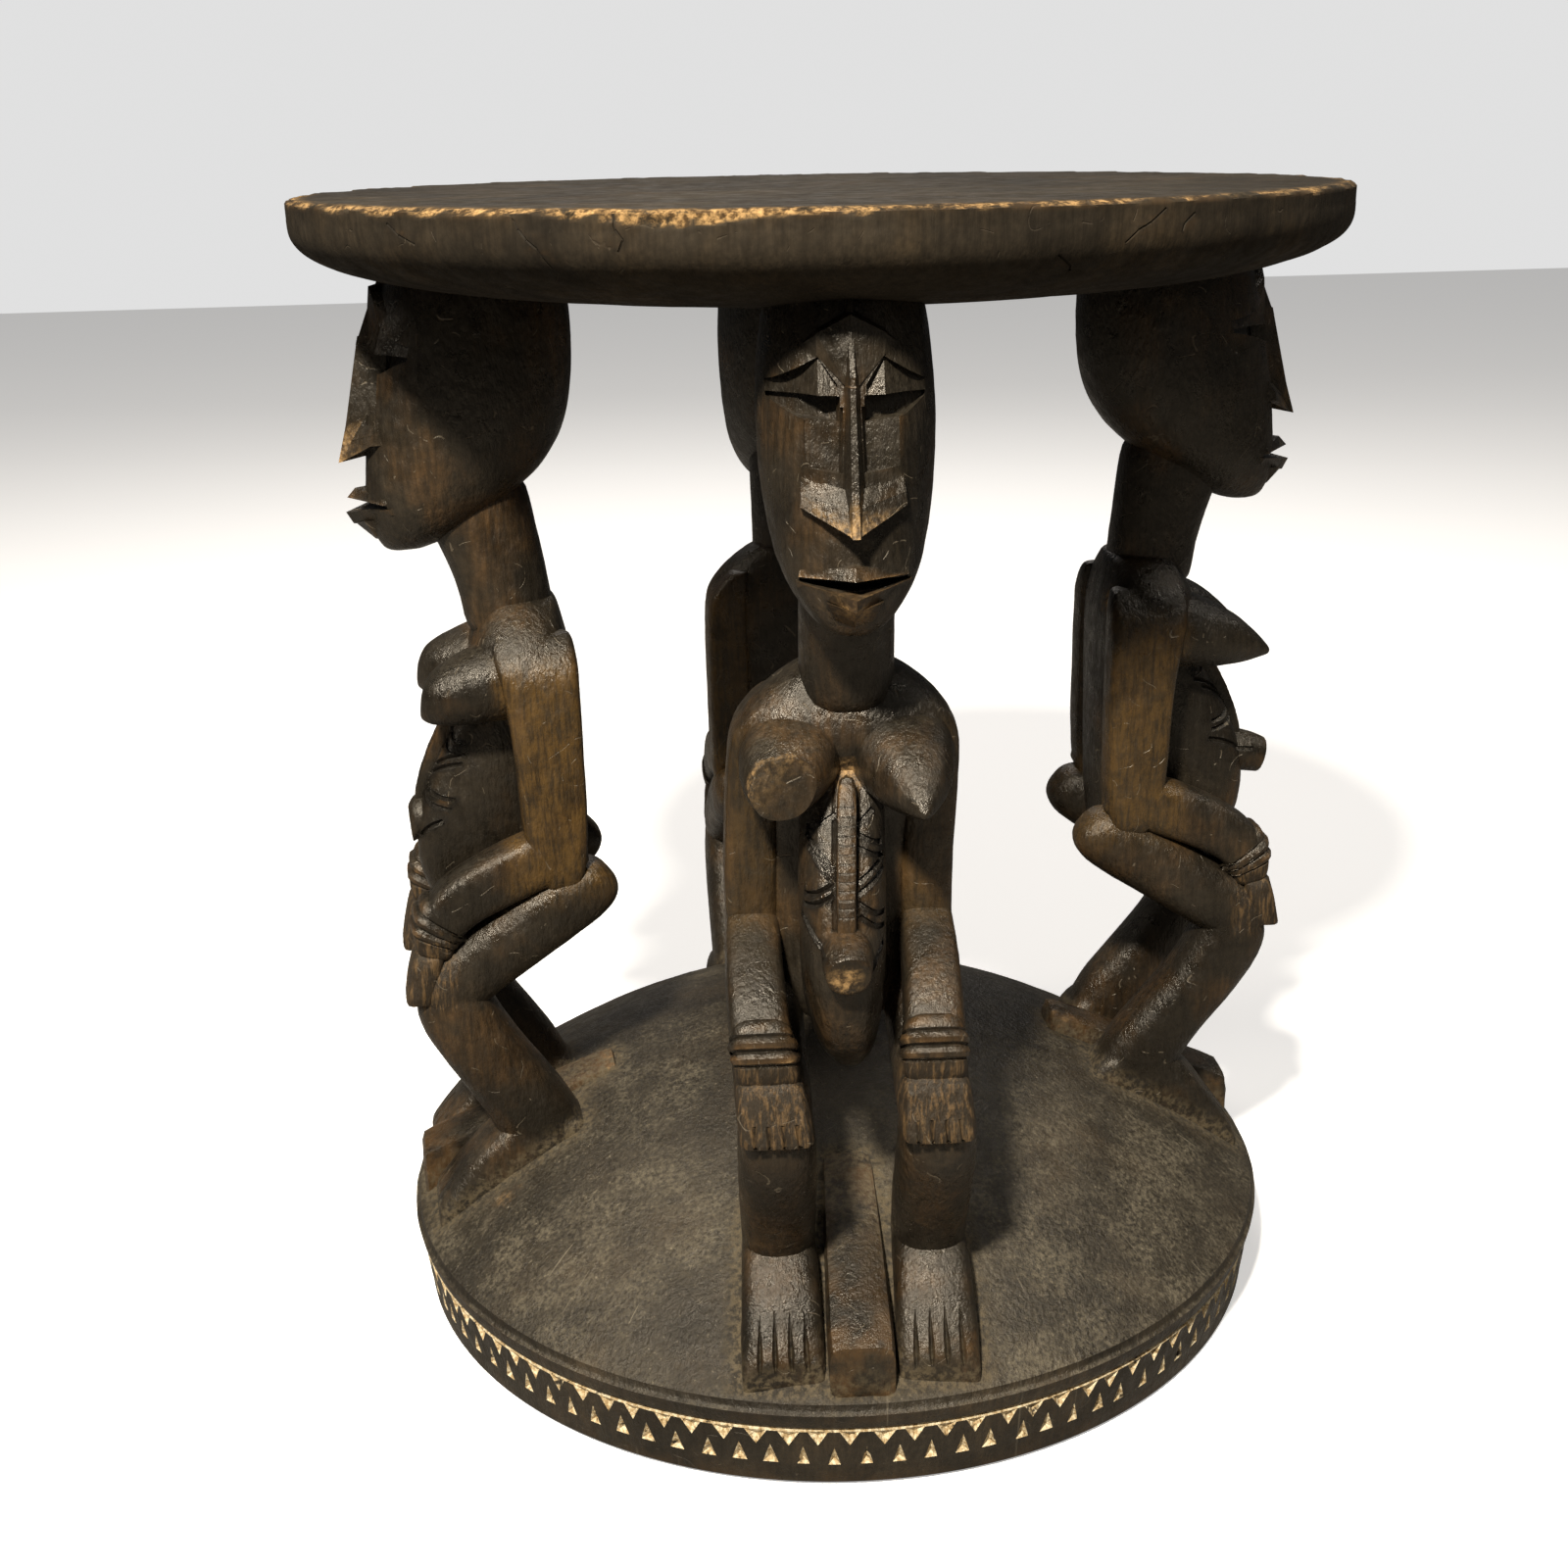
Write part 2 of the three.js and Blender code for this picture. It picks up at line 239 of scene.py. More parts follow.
# %% Trunk, belly and breasts
def trunk():
    return whittle("slab", [
        level(192, 134, 165, 14), level(204, 125, 163, 26), level(236, 123, 156, 32),
        level(280, 123, 154, 34), level(304, 123, 162, 42), level(318, 123, 171, 46),
        level(329, 124, 171, 44.5), level(339, 126, 167, 37), level(347, 128, 162, 26),
        level(352, 130, 158, 19),
    ], squareness=1.4)


def belly():
    body = whittle("belly", [
        level(181, 162, 174, 3), level(185, 158, 180, 7.6), level(195, 148, 191.5, 13),
        level(211, 140, 201, 16.6), level(236, 138, 204, 18.2), level(262, 138, 197.5, 18.2),
        level(290, 138, 181, 17.6), level(318, 140, 160, 15), level(326, 142, 154, 12),
    ], squareness=1.25, sides=12, rounds=3)
    ridge = whittle("ridge", [
        (0, 199.5, 236, 4.2, 4, 6), (0, 198.5, 256, 4.2, 4.4, 16), (0, 190.5, 277, 4.2, 4.4, 26),
        (0, 179.5, 296, 4.2, 4.4, 34), (0, 169, 311, 4, 4, 40),
    ], squareness=1.9, rounds=1)
    navel = whittle("navel", [
        (0, 188, 247.5, 10.5, 10.5, 84), (0, 203, 244, 11, 11, 80), (0, 211.5, 241.6, 9.6, 9.6, 77),
        (0, 213.4, 241, 9.2, 9.2, 76), (0, 213.8, 241, 8.8, 8.8, 76),
    ], squareness=1.05, sides=10, rounds=1)
    return [body, ridge, navel]


def breast(side):
    return whittle("breast", [
        (side * 20, 136, 318, 21, 21, 84), (side * 21, 152, 317, 22.5, 20, 84),
        (side * 23, 168, 314.5, 21, 18, 82), (side * 25.4, 182, 311, 16.6, 14.6, 78),
        (side * 27, 193, 307.5, 10.4, 9.6, 74), (side * 28, 202, 304.6, 4.2, 4, 70),
        (side * 28.4, 205.6, 303.4, 1.4, 1.4, 70),
    ], squareness=1.1, sides=10, rounds=3)


# %% Arms, hands, legs and feet
ARM_X = 36.8
LEG_X = 33.4
HAND_X = 33


def arm(side):
    x = side * ARM_X
    upper = whittle("upper_arm", [
        level(214, 130, 144, 10, x), level(226, 125, 150, 11.6, x), level(240, 123, 154, 11.8, x),
        level(280, 123, 154.5, 11.8, x), level(312, 123, 158, 11.6, x),
        level(323, 123, 161, 11, x - side * 0.8), level(331, 123.5, 162, 8.6, x - side * 3.6),
        level(337, 125, 161, 6, x - side * 7), level(339, 127, 159, 4, x - side * 8.5),
    ], squareness=1.9)
    fore = whittle("forearm", [
        (x, 126, 238, 10.6, 10, 56), (x, 136, 236, 11.6, 13.5, 58), (x, 154, 229, 12, 14.2, 60),
        (x, 172, 221.5, 12.4, 13.8, 60), (side * 35.6, 188, 212.5, 12.8, 12.8, 54),
        (side * 35.2, 196, 203, 13.2, 12, 40), (side * 35, 198.5, 196, 13.2, 11, 28),
    ], squareness=1.7)
    wrist = whittle("wrist", [
        (side * 35, 192, 214, 12.8, 12, 44), (side * 34.6, 196.8, 204, 13.4, 12, 30),
        (side * 34.2, 199.2, 193, 13.6, 10.2, 14), (side * 34, 198.5, 186, 13, 7.6, 8),
    ], squareness=1.7)
    hand = whittle("hand", [
        (side * 34, 200, 194, 13.8, 8, 10), (side * 33.6, 203, 184, 14.6, 7.6, 6),
        (side * 33.2, 205.8, 174, 15.4, 7.4, 3), (side * HAND_X, 207.4, 166.6, 15.6, 7.2, 0),
        (side * HAND_X, 207.6, 165.2, 15.4, 7, 0),
    ], squareness=1.8, rounds=1)
    return [upper, fore, wrist, hand]


def leg(side):
    x = side * LEG_X
    thigh = whittle("thigh", [
        (x, 114, 222, 7, 6, 50), (x, 117.5, 219, 13, 13, 50), (x, 127, 213, 15.8, 17, 50),
        (x, 152, 198, 16.4, 17.6, 54), (x, 178, 181, 16.4, 17.6, 58), (x, 196, 168, 16.2, 17, 60),
        (x, 207, 160, 14, 13, 62),
    ], squareness=1.3)
    shin = whittle("shin", [
        level(178, 182, 202, 12.4, x), level(168, 175, 209, 16, x), level(154, 170, 211.5, 17, x),
        level(130, 155, 198.5, 17.2, x), level(106, 139, 184.5, 17, x),
        level(88, 132, 175.5, 16.6, x), level(64, 130, 172, 16, x),
    ], squareness=1.32)
    return [thigh, shin, foot(side)]


BASE_RADIUS = 220
BASE_EDGE = 41
DOME_RISE = 84
FOOT_DEPTH = 16


def dome(out):
    return BASE_EDGE + DOME_RISE * (1 - (out / BASE_RADIUS) ** 2)


def foot(side):
    """Sections from heel to toes, (outward, top, half width); its sole is sunk in the dome."""
    shape = [(129, 82, 10), (133, 95, 15), (150, 102, 16.6), (170, 99, 17.2), (186, 86, 17.8),
             (199, 70.5, 18.4), (207.6, 60, 18), (209, 55, 17.2)]
    return whittle("foot", [slice_of(out, dome(out) - FOOT_DEPTH, top, wide, side * LEG_X)
                            for out, top, wide in shape], squareness=1.55)


def bar():
    return whittle("bar", [
        slice_of(112.6, 82, 104.5, 11.6), slice_of(114, 82, 106, 12.2),
        slice_of(160, 62, 89, 13.8), slice_of(213, 38, 69.5, 14.8), slice_of(214.6, 38, 68, 14.4),
    ], squareness=2.0, rounds=1)


# %% [markdown]
# ## The face, added and cut on the skin
# Small forms belong on or in a surface that is already there. A ray shot at the face tells how far
# out the skin is at a place, so each chip is given by its height over the skin or depth under it.
# Nose, brows and lips are flats that a broad knife leaves, so they are blocks with moved corners
# and not sculpted lumps. Lids, eye slits and cheeks are cut out of the head with blocks as well.

# %% The skin at a place
FAR = 0.5
NO_SKIN = 150
INWARD = Vector((0, 1, 0))
DOWNWARD = Vector((0, 0, -1))


def skin_of(piece):
    tree = BVHTree.FromObject(piece, bpy.context.evaluated_depsgraph_get())

    def outward(x, up):
        hit = tree.ray_cast(Vector((x * MM, -FAR, up * MM)), INWARD)[0]
        return -hit.y / MM if hit else NO_SKIN
    return tree, outward


def chip_on(skin, corners, side=1):
    """Like chip, with the height over the skin, or the depth under it below zero, for outward.
    Corners are given for her left side, and side -1 mirrors them."""
    return chip([(side * x, skin(side * x, up) + high, up) for x, high, up in corners])


# %% Nose, brows and lips
def nose(skin):
    bridge = chip_on(skin, [
        (-2.6, -3, 507), (2.6, -3, 507), (0.9, 2.2, 503), (-0.9, 2.2, 503),
        (-5, -6, 466), (5, -6, 466), (1.1, 6.4, 466), (-1.1, 6.4, 466),
    ])
    middle = chip_on(skin, [
        (-5.2, -7, 470), (5.2, -7, 470), (1.1, 6.2, 470), (-1.1, 6.2, 470),
        (-6.4, -7, 428), (6.4, -7, 428), (1.4, 9.4, 426), (-1.4, 9.4, 426),
    ])
    tip = chip_on(skin, [
        (-5, -4, 440), (5, -4, 440), (1.3, 6.6, 442), (-1.3, 6.6, 442),
        (-6, -4, 419), (6, -4, 419), (1.6, 11.8, 414.6), (-1.6, 11.8, 414.6),
    ])
    wings = []
    for side in (-1, 1):
        wings.append(chip_on(skin, [
            (0, -4, 430), (0, -4, 420), (0, 11.6, 414.4), (0, 7, 424),
            (20, -6, 434), (20, -6, 424.5), (19.6, 4.4, 424), (19.2, 3.6, 429),
        ], side))
        wings.append(chip_on(skin, [
            (0, -4, 430), (0, -4, 420), (0, 7.2, 423.8), (0, 3, 430),
            (20, -6, 434.4), (20, -6, 426), (19.2, 3.7, 428.8), (18.6, 0.2, 434.4),
        ], side))
    return [bridge, middle, tip, *wings]


def brows(skin):
    """Two flats a side, highest at the bridge, that stand over the lids and meet in a point."""
    made = []
    for side in (-1, 1):
        made.append(chip_on(skin, [
            (0, -4, 495), (0, -4, 462.5), (0, 2, 463.5), (0, 6, 491.5),
            (12.5, -4, 487), (12.5, -4, 476.2), (12.5, 0.5, 476.6), (12.5, 4, 484.5),
        ], side))
        made.append(chip_on(skin, [
            (12, -4, 487), (12, -4, 476.2), (12, 0.5, 476.6), (12, 4, 484.5),
            (29, -4, 475), (29, -4, 467), (29, 0.2, 467.4), (28.6, 0.8, 472),
        ], side))
    return made


def lips(skin):
    """An upper lip, a lower lip and the flat under it, each in two halves."""
    made = []
    for side in (-1, 1):
        made.append(chip_on(skin, [
            (0, -4, 404.6), (0, -4, 397.6), (0, 8.4, 398.8), (0, 4.6, 403.4),
            (20.5, -4, 400.8), (20.5, -4, 398), (20.5, 2.4, 398), (20, 1, 400.6),
        ], side))
        made.append(chip_on(skin, [
            (0, -4, 394), (0, -4, 386), (0, 7.4, 387), (0, 9.6, 392.4),
            (21.5, -4, 397), (21.5, -4, 393.5), (21, 1.2, 393.4), (21.5, 2.6, 396.2),
        ], side))
        made.append(chip_on(skin, [
            (0, -4, 388), (0, -4, 379), (0, 1, 379.4), (0, 6.2, 387),
            (10.5, -4, 389.6), (10.5, -4, 383), (7, 0.6, 382), (10.5, 4.2, 390),
        ], side))
    return made


# %% Lids, eye slits and cheeks
EYE_ENDS = {-1: 30.5, 1: 27.5}


def eyes(skin):
    """A sunk lid in two flats and a deep level slit under it; her left eye is a little shorter."""
    lids, slits = [], []
    lid_middle = [(12, 12, 476), (12, 12, 462.5), (12, -0.2, 462.5), (12, -1.3, 475.8)]
    slit_middle = [(19, 12, 462.8), (19, 12, 455), (19, -8, 455.6), (19, -8, 462.8)]
    for side, end in EYE_ENDS.items():
        lids.append(chip_on(skin, lid_middle + [
            (end, 14, 466), (end, 14, 461.8), (end, 0, 461.8), (end, -0.5, 466.6),
        ], side))
        lids.append(chip_on(skin, lid_middle + [
            (5.4, 10, 467), (5.4, 10, 462.5), (5.4, -1.8, 462.5), (5.4, -3.4, 466.5),
        ], side))
        slits.append(chip_on(skin, slit_middle + [
            (end, 12, 462.4), (end, 12, 461), (end, -3, 461), (end, -3, 462.4),
        ], side))
        slits.append(chip_on(skin, slit_middle + [
            (4.6, 9, 462.6), (4.6, 9, 453), (4.6, -9, 453.6), (4.6, -9, 462.6),
        ], side))
    return lids, slits


def cheeks(skin):
    """A flat on each side from the nose to the cheek."""
    return [chip_on(skin, [
        (3.4, -4.6, 459), (3.4, 6, 459), (17, 6, 459), (17, -0.4, 459),
        (4, -4.4, 436), (4, 4, 436), (17, 6, 438), (17, -0.4, 438),
    ], side) for side in (-1, 1)]


# %% Fuse and cut
def fuse(piece, other):
    apply_modifier(piece, "BOOLEAN", operation="UNION", object=other, solver="MANIFOLD")
    bpy.data.objects.remove(other)


def cut(piece, tool):
    apply_modifier(piece, "BOOLEAN", operation="DIFFERENCE", object=tool, solver="MANIFOLD")
    bpy.data.objects.remove(tool)


woman = head()
woman.name = "woman"
head_skin = skin_of(woman)[1]
lids, slits = eyes(head_skin)
for tool in cheeks(head_skin) + lids + slits:
    cut(woman, tool)
print("eyes cut", len(woman.data.polygons), "faces")
forms = [neck(), trunk(), *belly(), bar(), *nose(head_skin), *brows(head_skin), *lips(head_skin)]
for side in (-1, 1):
    forms += [breast(side), *arm(side), *leg(side)]
for form in forms:
    fuse(woman, form)
print("woman", len(woman.data.polygons), "faces", tuple(round(v, 3) for v in woman.dimensions))
skin_tree, skin = skin_of(woman)

# %% [markdown]
# ## The last cuts
# The mouth, scars, fingers, toes and bracelets are small knife cuts, a few millimetres across. A
# bump in the material would vanish at the outline, so they are cut: wedges for the mouth and toes,
# and thin four-sided rods, laid along lines on the skin, for the other grooves.

# %% Rods laid on the skin
def rod(points, width, closed=False, roundness=0):
    """A thin rod along points, in metres; without roundness it has four sides."""
    line = bpy.data.curves.new("rod", "CURVE")
    line.dimensions = "3D"
    line.bevel_depth = width * MM / 2
    line.bevel_resolution = roundness
    line.use_fill_caps = True
    spline = line.splines.new("POLY")
    spline.points.add(len(points) - 1)
    for spot, point in zip(spline.points, points):
        spot.co = (*point, 1)
    spline.use_cyclic_u = closed
    piece = bpy.data.objects.new("rod", line)
    bpy.context.scene.collection.objects.link(piece)
    select_only(piece)
    bpy.ops.object.convert(target="MESH")
    piece = bpy.context.object
    bpy.ops.object.mode_set(mode="EDIT")
    bpy.ops.mesh.select_all(action="SELECT")
    bpy.ops.mesh.remove_doubles(threshold=0.01 * MM)
    face_outwards()
    return piece


def share_out(start, end, steps):
    """Places from start to end in even steps."""
    return [tuple(a + (b - a) * i / steps for a, b in zip(start, end)) for i in range(steps + 1)]


def line_on_skin(start, end, steps, bury=0):
    """Points on the woman's skin between two places (x, up), pushed in by bury millimetres."""
    found = []
    for x, up in share_out(start, end, steps):
        place, normal = skin_tree.ray_cast(Vector((x, 0, up)) * MM - INWARD * FAR, INWARD)[:2]
        if place:
            found.append(place - normal * bury * MM)
    return found


# %% Mouth
for side in (-1, 1):
    cut(woman, chip([(side * x, out, up) for x, out, up in (
        (20, 192, 397), (20, 210, 397.4), (20, 210, 396.2), (20, 192, 396.2),
        (0, 196, 398), (0, 226, 398.4), (0, 226, 392.6), (0, 200, 394.4),
    )]))

# %% Scars and the ladder on the belly's ridge
SCAR_WIDTH = 2.8
SCARS = (
    (-4.5, 295.5, -15.5, 289), (-15.5, 287, -5, 276), (-14.8, 283, -4.8, 271.5),
    (-16, 264.6, -4.5, 272), (-16.4, 260.4, -5, 267.5), (-17, 256, -9.5, 247),
    (4.7, 291.5, 11, 296.5), (4.7, 288.5, 15, 283.5), (4.7, 284, 15, 279),
    (5, 271.5, 15.8, 278.5), (5, 267.5, 16, 274), (4.7, 264.5, 16.6, 256.5),
    (5.4, 259.5, 16.4, 251.5), (15.5, 246, 10, 238),
)
scar_paths = [line_on_skin((a, b), (c, d), 8, 0.2) for a, b, c, d in SCARS]
for path in scar_paths:
    cut(woman, rod(path, SCAR_WIDTH))

RIDGE_EDGE = 4.9
RIDGE_HEAD, RIDGE_FOOT = 307, 255
EDGE_WIDTH = 1.6
edges = []
for side in (-1, 1):
    x = side * RIDGE_EDGE
    edges.append(rod(line_on_skin((x, RIDGE_HEAD), (x, RIDGE_FOOT), 12, 0.1), EDGE_WIDTH))
cut(woman, join("ridge_edges", edges))

RUNGS = 13
FIRST_RUNG = 300
RUNG_PITCH = 3.3
RUNG_HALF = 2.9
RUNG_WIDTH = 0.7
rungs = []
for i in range(RUNGS):
    up = FIRST_RUNG - i * RUNG_PITCH
    rungs.append(rod(line_on_skin((-RUNG_HALF, up), (RUNG_HALF, up), 2, -0.05), RUNG_WIDTH))
cut(woman, join("rungs", rungs))
print(len(SCARS), "scars,", RUNGS, "rungs,", len(woman.data.polygons), "faces")

# %% Fingers
FINGER_GAPS = (-8.6, -2.9, 2.9, 8.6)
FINGER_SPREAD = 1.06
FINGER_WIDTH = 1.8
NOTCH_WIDTH = 5
KNUCKLES, FINGERS_END = 176, 165.5
PAST_FINGERS = 222
fingers, finger_ends = [], []
for side in (-1, 1):
    for gap in FINGER_GAPS:
        root = side * HAND_X + gap
        end = side * HAND_X + gap * FINGER_SPREAD
        fingers.append(rod(line_on_skin((root, KNUCKLES), (end, FINGERS_END), 8), FINGER_WIDTH))
        shin_skin = Vector((end, -skin(end, 157.5) - 0.4, 163)) * MM
        in_front = Vector((end, -PAST_FINGERS, 163.6)) * MM
        finger_ends.append(rod([shin_skin, in_front], NOTCH_WIDTH))
for groove in fingers + finger_ends:
    cut(woman, groove)

# %% Toes
TOE_GAPS = (-9.5, -3.2, 3.2, 9.6)
TOE_SPREAD = 1.1
LAST_ON_FOOT = 206
TOE_DROP = 6


def toe_groove(x, out, half_width, deep):
    """One end of the groove, four corners; past the foot's skin it goes on TOE_DROP lower."""
    top = skin_tree.ray_cast(Vector((x, -min(out, LAST_ON_FOOT), 100)) * MM, DOWNWARD)[0].z / MM
    top -= TOE_DROP if out > LAST_ON_FOOT else 0
    return [(x - half_width, out, top + 1), (x + half_width, out, top + 1),
            (x + 0.15, out, top - deep), (x - 0.15, out, top - deep)]


toes = []
for side in (-1, 1):
    for gap in TOE_GAPS:
        root = toe_groove(side * LEG_X + gap, 195, 0.2, 0.5)
        toes.append(chip(root + toe_groove(side * LEG_X + gap * TOE_SPREAD, 212, 3, 6)))
cut(woman, join("toe_gaps", toes))
print("fingers and toes,", len(woman.data.polygons), "faces")

# %% Bracelets
BRACELET_X = 34.8
BRACELET_REACH = 21
RING_POINTS = 40


def ring_on_skin(centre, lean, sink):
    """Points round the wrist, sunk in the skin; the ring's plane leans as the arm's sections do."""
    lean = math.radians(lean)
    middle = Vector(centre) * MM
    ring = []
    for i in range(RING_POINTS):
        angle = i / RING_POINTS * 2 * math.pi
        rise = math.sin(angle)
        away = Vector((math.cos(angle), -rise * math.cos(lean), rise * math.sin(lean)))
        hit = skin_tree.ray_cast(middle + away * BRACELET_REACH * MM, -away)[0]
        distance = (hit - middle).length / MM if hit else BRACELET_REACH
        ring.append(middle + away * (min(distance, BRACELET_REACH - 3) - sink) * MM)
    return ring


def bands(rings, width, sink=0, roundness=0):
    """Rings (outward, up, lean) round both wrists."""
    return [rod(ring_on_skin((side * BRACELET_X, -out, up), lean, sink), width, closed=True,
                roundness=roundness) for side in (-1, 1) for out, up, lean in rings]


BRACELETS = ((196.6, 203.7, 34), (197.9, 199.2, 26))
GROOVES = ((195.9, 206, 38), (197.3, 201.4, 30), (198.6, 196.9, 22))
for band in bands(BRACELETS, width=6, sink=1.7, roundness=2):
    fuse(woman, band)
for groove in bands(GROOVES, width=1.5):
    cut(woman, groove)
print("woman", len(woman.data.polygons), "faces with bracelets")

# %% [markdown]
# ## Four women from one
# The four differ as hand work does. Each copy gets its own mesh, is shifted a little with smooth
# falls between feet and head, and is then turned about herself and about the table's axis. Four
# separate carvings would take four times the work and look no more different than this.

# %% Read and write points
def read_all(items, name, width=3, kind=np.float32):
    """One property of all points, faces or edges, a row for each."""
    values = np.empty(len(items) * width, kind)
    items.foreach_get(name, values)
    return values.reshape(-1, width)


def points_of(piece):
    return read_all(piece.data.vertices, "co").astype(float)


def normals_of(piece):
    return read_all(piece.data.vertex_normals, "vector").astype(float)


def set_points(piece, points):
    piece.data.vertices.foreach_set("co", points.astype(np.float32).ravel())
    piece.data.update()


def smooth(low, high, values):
    """Rises from 0 at low to 1 at high."""
    share = np.clip((values - low) / (high - low), 0, 1)
    return share * share * (3 - 2 * share)


def zone(values, start, full, fading, end):
    """1 from full to fading, and 0 before start and past end."""
    return smooth(start, full, values) * (1 - smooth(fading, end, values))


# %% Set the copies down
BODY_CENTRE = 150 * MM
NECK_RISE = 0.2
ABOVE_FEET, NECK, CROWN = (70, 150), (345, 405), (480, 505)
BODY, WAIST = (55, 110, 400, 480), (150, 220, 250, 350)
SPOTS = {
    "front_woman": dict(quarter=0, place=-5.8, turned=0, step=0, lift=0, sway=-4, lean=7),
    "right_woman": dict(quarter=1, place=2, turned=-6, step=11, lift=6, sway=0, lean=2.5),
    "back_woman": dict(quarter=2, place=-0.7, turned=0, step=0, lift=-12, sway=0, lean=5),
    "left_woman": dict(quarter=3, place=-0.6, turned=5, step=0, lift=0, sway=0, lean=5),
}


def copy_of(piece, name):
    twin = piece.copy()
    twin.data = piece.data.copy()
    twin.name = name
    bpy.context.scene.collection.objects.link(twin)
    return twin


def turn_whole(piece, degrees, centre=(0, 0, 0)):
    select_only(piece)
    bpy.ops.object.mode_set(mode="EDIT")
    bpy.ops.mesh.select_all(action="SELECT")
    turn(degrees, "Z", centre)
    bpy.ops.object.mode_set(mode="OBJECT")


def set_down(piece, spot):
    """Lifts the body, steps it outwards, leans the head out and sways the waist, then turns her."""
    points = points_of(piece)
    up = points[:, 2] / MM
    leaning = spot["lean"] * MM * smooth(*NECK, up)
    points[:, 0] += spot["sway"] * MM * zone(up, *WAIST)
    points[:, 1] -= spot["step"] * MM * smooth(*ABOVE_FEET, up) + leaning
    points[:, 2] += spot["lift"] * MM * zone(up, *BODY)
    points[:, 2] += NECK_RISE * leaning * (1 - smooth(*CROWN, up))
    set_points(piece, points)
    turn_whole(piece, spot["turned"], (0, -BODY_CENTRE, 0))
    turn_whole(piece, spot["quarter"] * 90 + spot["place"])


# %% [markdown]
# ## What tells them apart
# The front woman's right breast is broken off flat, and the left woman's breasts are worn short.
# Stain is missing in places, and the blade left shallow hollows all over. The break and the hollows are in
# the mesh, as they show at the outline. The missing stain is a mask on the points, which the material
# reads, and the same mask lightens the upper left of the break's rim as a painted highlight; a painted
# picture could hold it too, but a mask needs no picture and no unwrap.

# %% Masks on the points
def write_mask(piece, name, values, domain="POINT"):
    mask = piece.data.attributes.new(name, "FLOAT", domain)
    mask.data.foreach_set("value", np.clip(values, 0, 1).astype(np.float32))


def write_bare_and_rim_highlight(piece, spots):
    """Each spot is (x, outward, up, radius) where the stain has gone; round the front woman's break the
    spots also paint a highlight on the rim.
    """
    points = points_of(piece) / MM
    bare = np.zeros(len(points))
    for x, out, up, radius in spots:
        away = np.linalg.norm(points - (x, -out, up), axis=1)
        bare = np.maximum(bare, 1 - smooth(0.35, 1.0, away / radius))
    write_mask(piece, "bared_and_rim_highlight", bare)


ARM_WARMTH = {"front_woman": 0.4, "right_woman": 0.75, "back_woman": 1, "left_woman": 1}
ARM_ROWS, ARM_ASIDE, FOREARM = (205, 225, 322, 334), (24, 27), (158, 166)
HAND_ROWS, HAND_OUT = (160, 163, 198.5, 200.5), (186, 194)
GROOVE_SHADE_RADII = (1.5, 2.1)


def write_regions(piece):
    """Arms rubbed browner than the rest, painted shade in the scar grooves, fibrous backs of the hands."""
    points = points_of(piece) / MM
    aside, out, up = np.abs(points[:, 0]), -points[:, 1], points[:, 2]
    arms = smooth(*ARM_ASIDE, aside) * zone(up, *ARM_ROWS) * (1 - smooth(*FOREARM, out))
    write_mask(piece, "warmed", arms * ARM_WARMTH[piece.name])
    # Painted shade: points near the scar lines are darkened, as the grooves' shadow would be.
    groove_shade = np.zeros(len(points))
    for path in scar_paths:
        for place in path:
            away = np.linalg.norm(points - np.array(place) / MM, axis=1)
            groove_shade = np.maximum(groove_shade, 1 - smooth(*GROOVE_SHADE_RADII, away))
    write_mask(piece, "groove_shaded", groove_shade)
    write_mask(piece, "fibrous", zone(up, *HAND_ROWS) * smooth(*HAND_OUT, out))


# %% Worn breasts and tool marks
BREAST_ROWS, NAVEL_ROWS = (287, 293, 340, 350), (224, 228, 256, 260)
BREAST_ROOT = 178
BREAST_LENGTH = 19
BREAST_SOFTNESS = 16
NAVEL_ROOT = 202
NAVEL_LOST = 0.75
NAVEL_HALF = 13


def blunt(piece):
    """This woman has short rounded breasts and hardly any navel."""
    points = points_of(piece) / MM
    out, up = -points[:, 1], points[:, 2]
    shorter = BREAST_ROOT + BREAST_LENGTH * np.tanh((out - BREAST_ROOT) / BREAST_SOFTNESS)
    out = out + (shorter - out) * zone(up, *BREAST_ROWS) * (out > BREAST_ROOT)
    navel = (np.abs(points[:, 0]) < NAVEL_HALF) * (out > NAVEL_ROOT) * zone(up, *NAVEL_ROWS)
    points[:, 1] = NAVEL_LOST * (out - NAVEL_ROOT) * navel - out
    set_points(piece, points * MM)


def tool_marks(piece, depth, width, above=-1):
    """Presses shallow hollows, a blade's width across, into the surface over a height."""
    points = points_of(piece)
    cells = np.array([noise.voronoi(Vector(point / (width * MM)))[0][0] for point in points])
    swell = np.array([noise.noise(Vector(point / (width * 2.6 * MM))) for point in points])
    hollows = 1 - np.clip(cells * 1.6, 0, 1) ** 2
    sink = depth * MM * (0.25 + 0.75 * hollows + 0.6 * (swell + 0.6))
    sink *= smooth(above, above + 2, points[:, 2] / MM)
    set_points(piece, points - normals_of(piece) * sink[:, None])


# %% Carve the four
BREAST_BREAK = [
    (-47, 186.5, 336), (-47, 191.5, 290), (-47, 222, 290), (-47, 222, 336),
    (-6, 184.5, 336), (-6, 190.5, 290), (-6, 222, 290), (-6, 222, 336),
]
FINGER_TIPS = [(side * HAND_X + x, 211, 163.5, 2.7) for side in (-1, 1) for x in (-9, -3, 3, 9)]
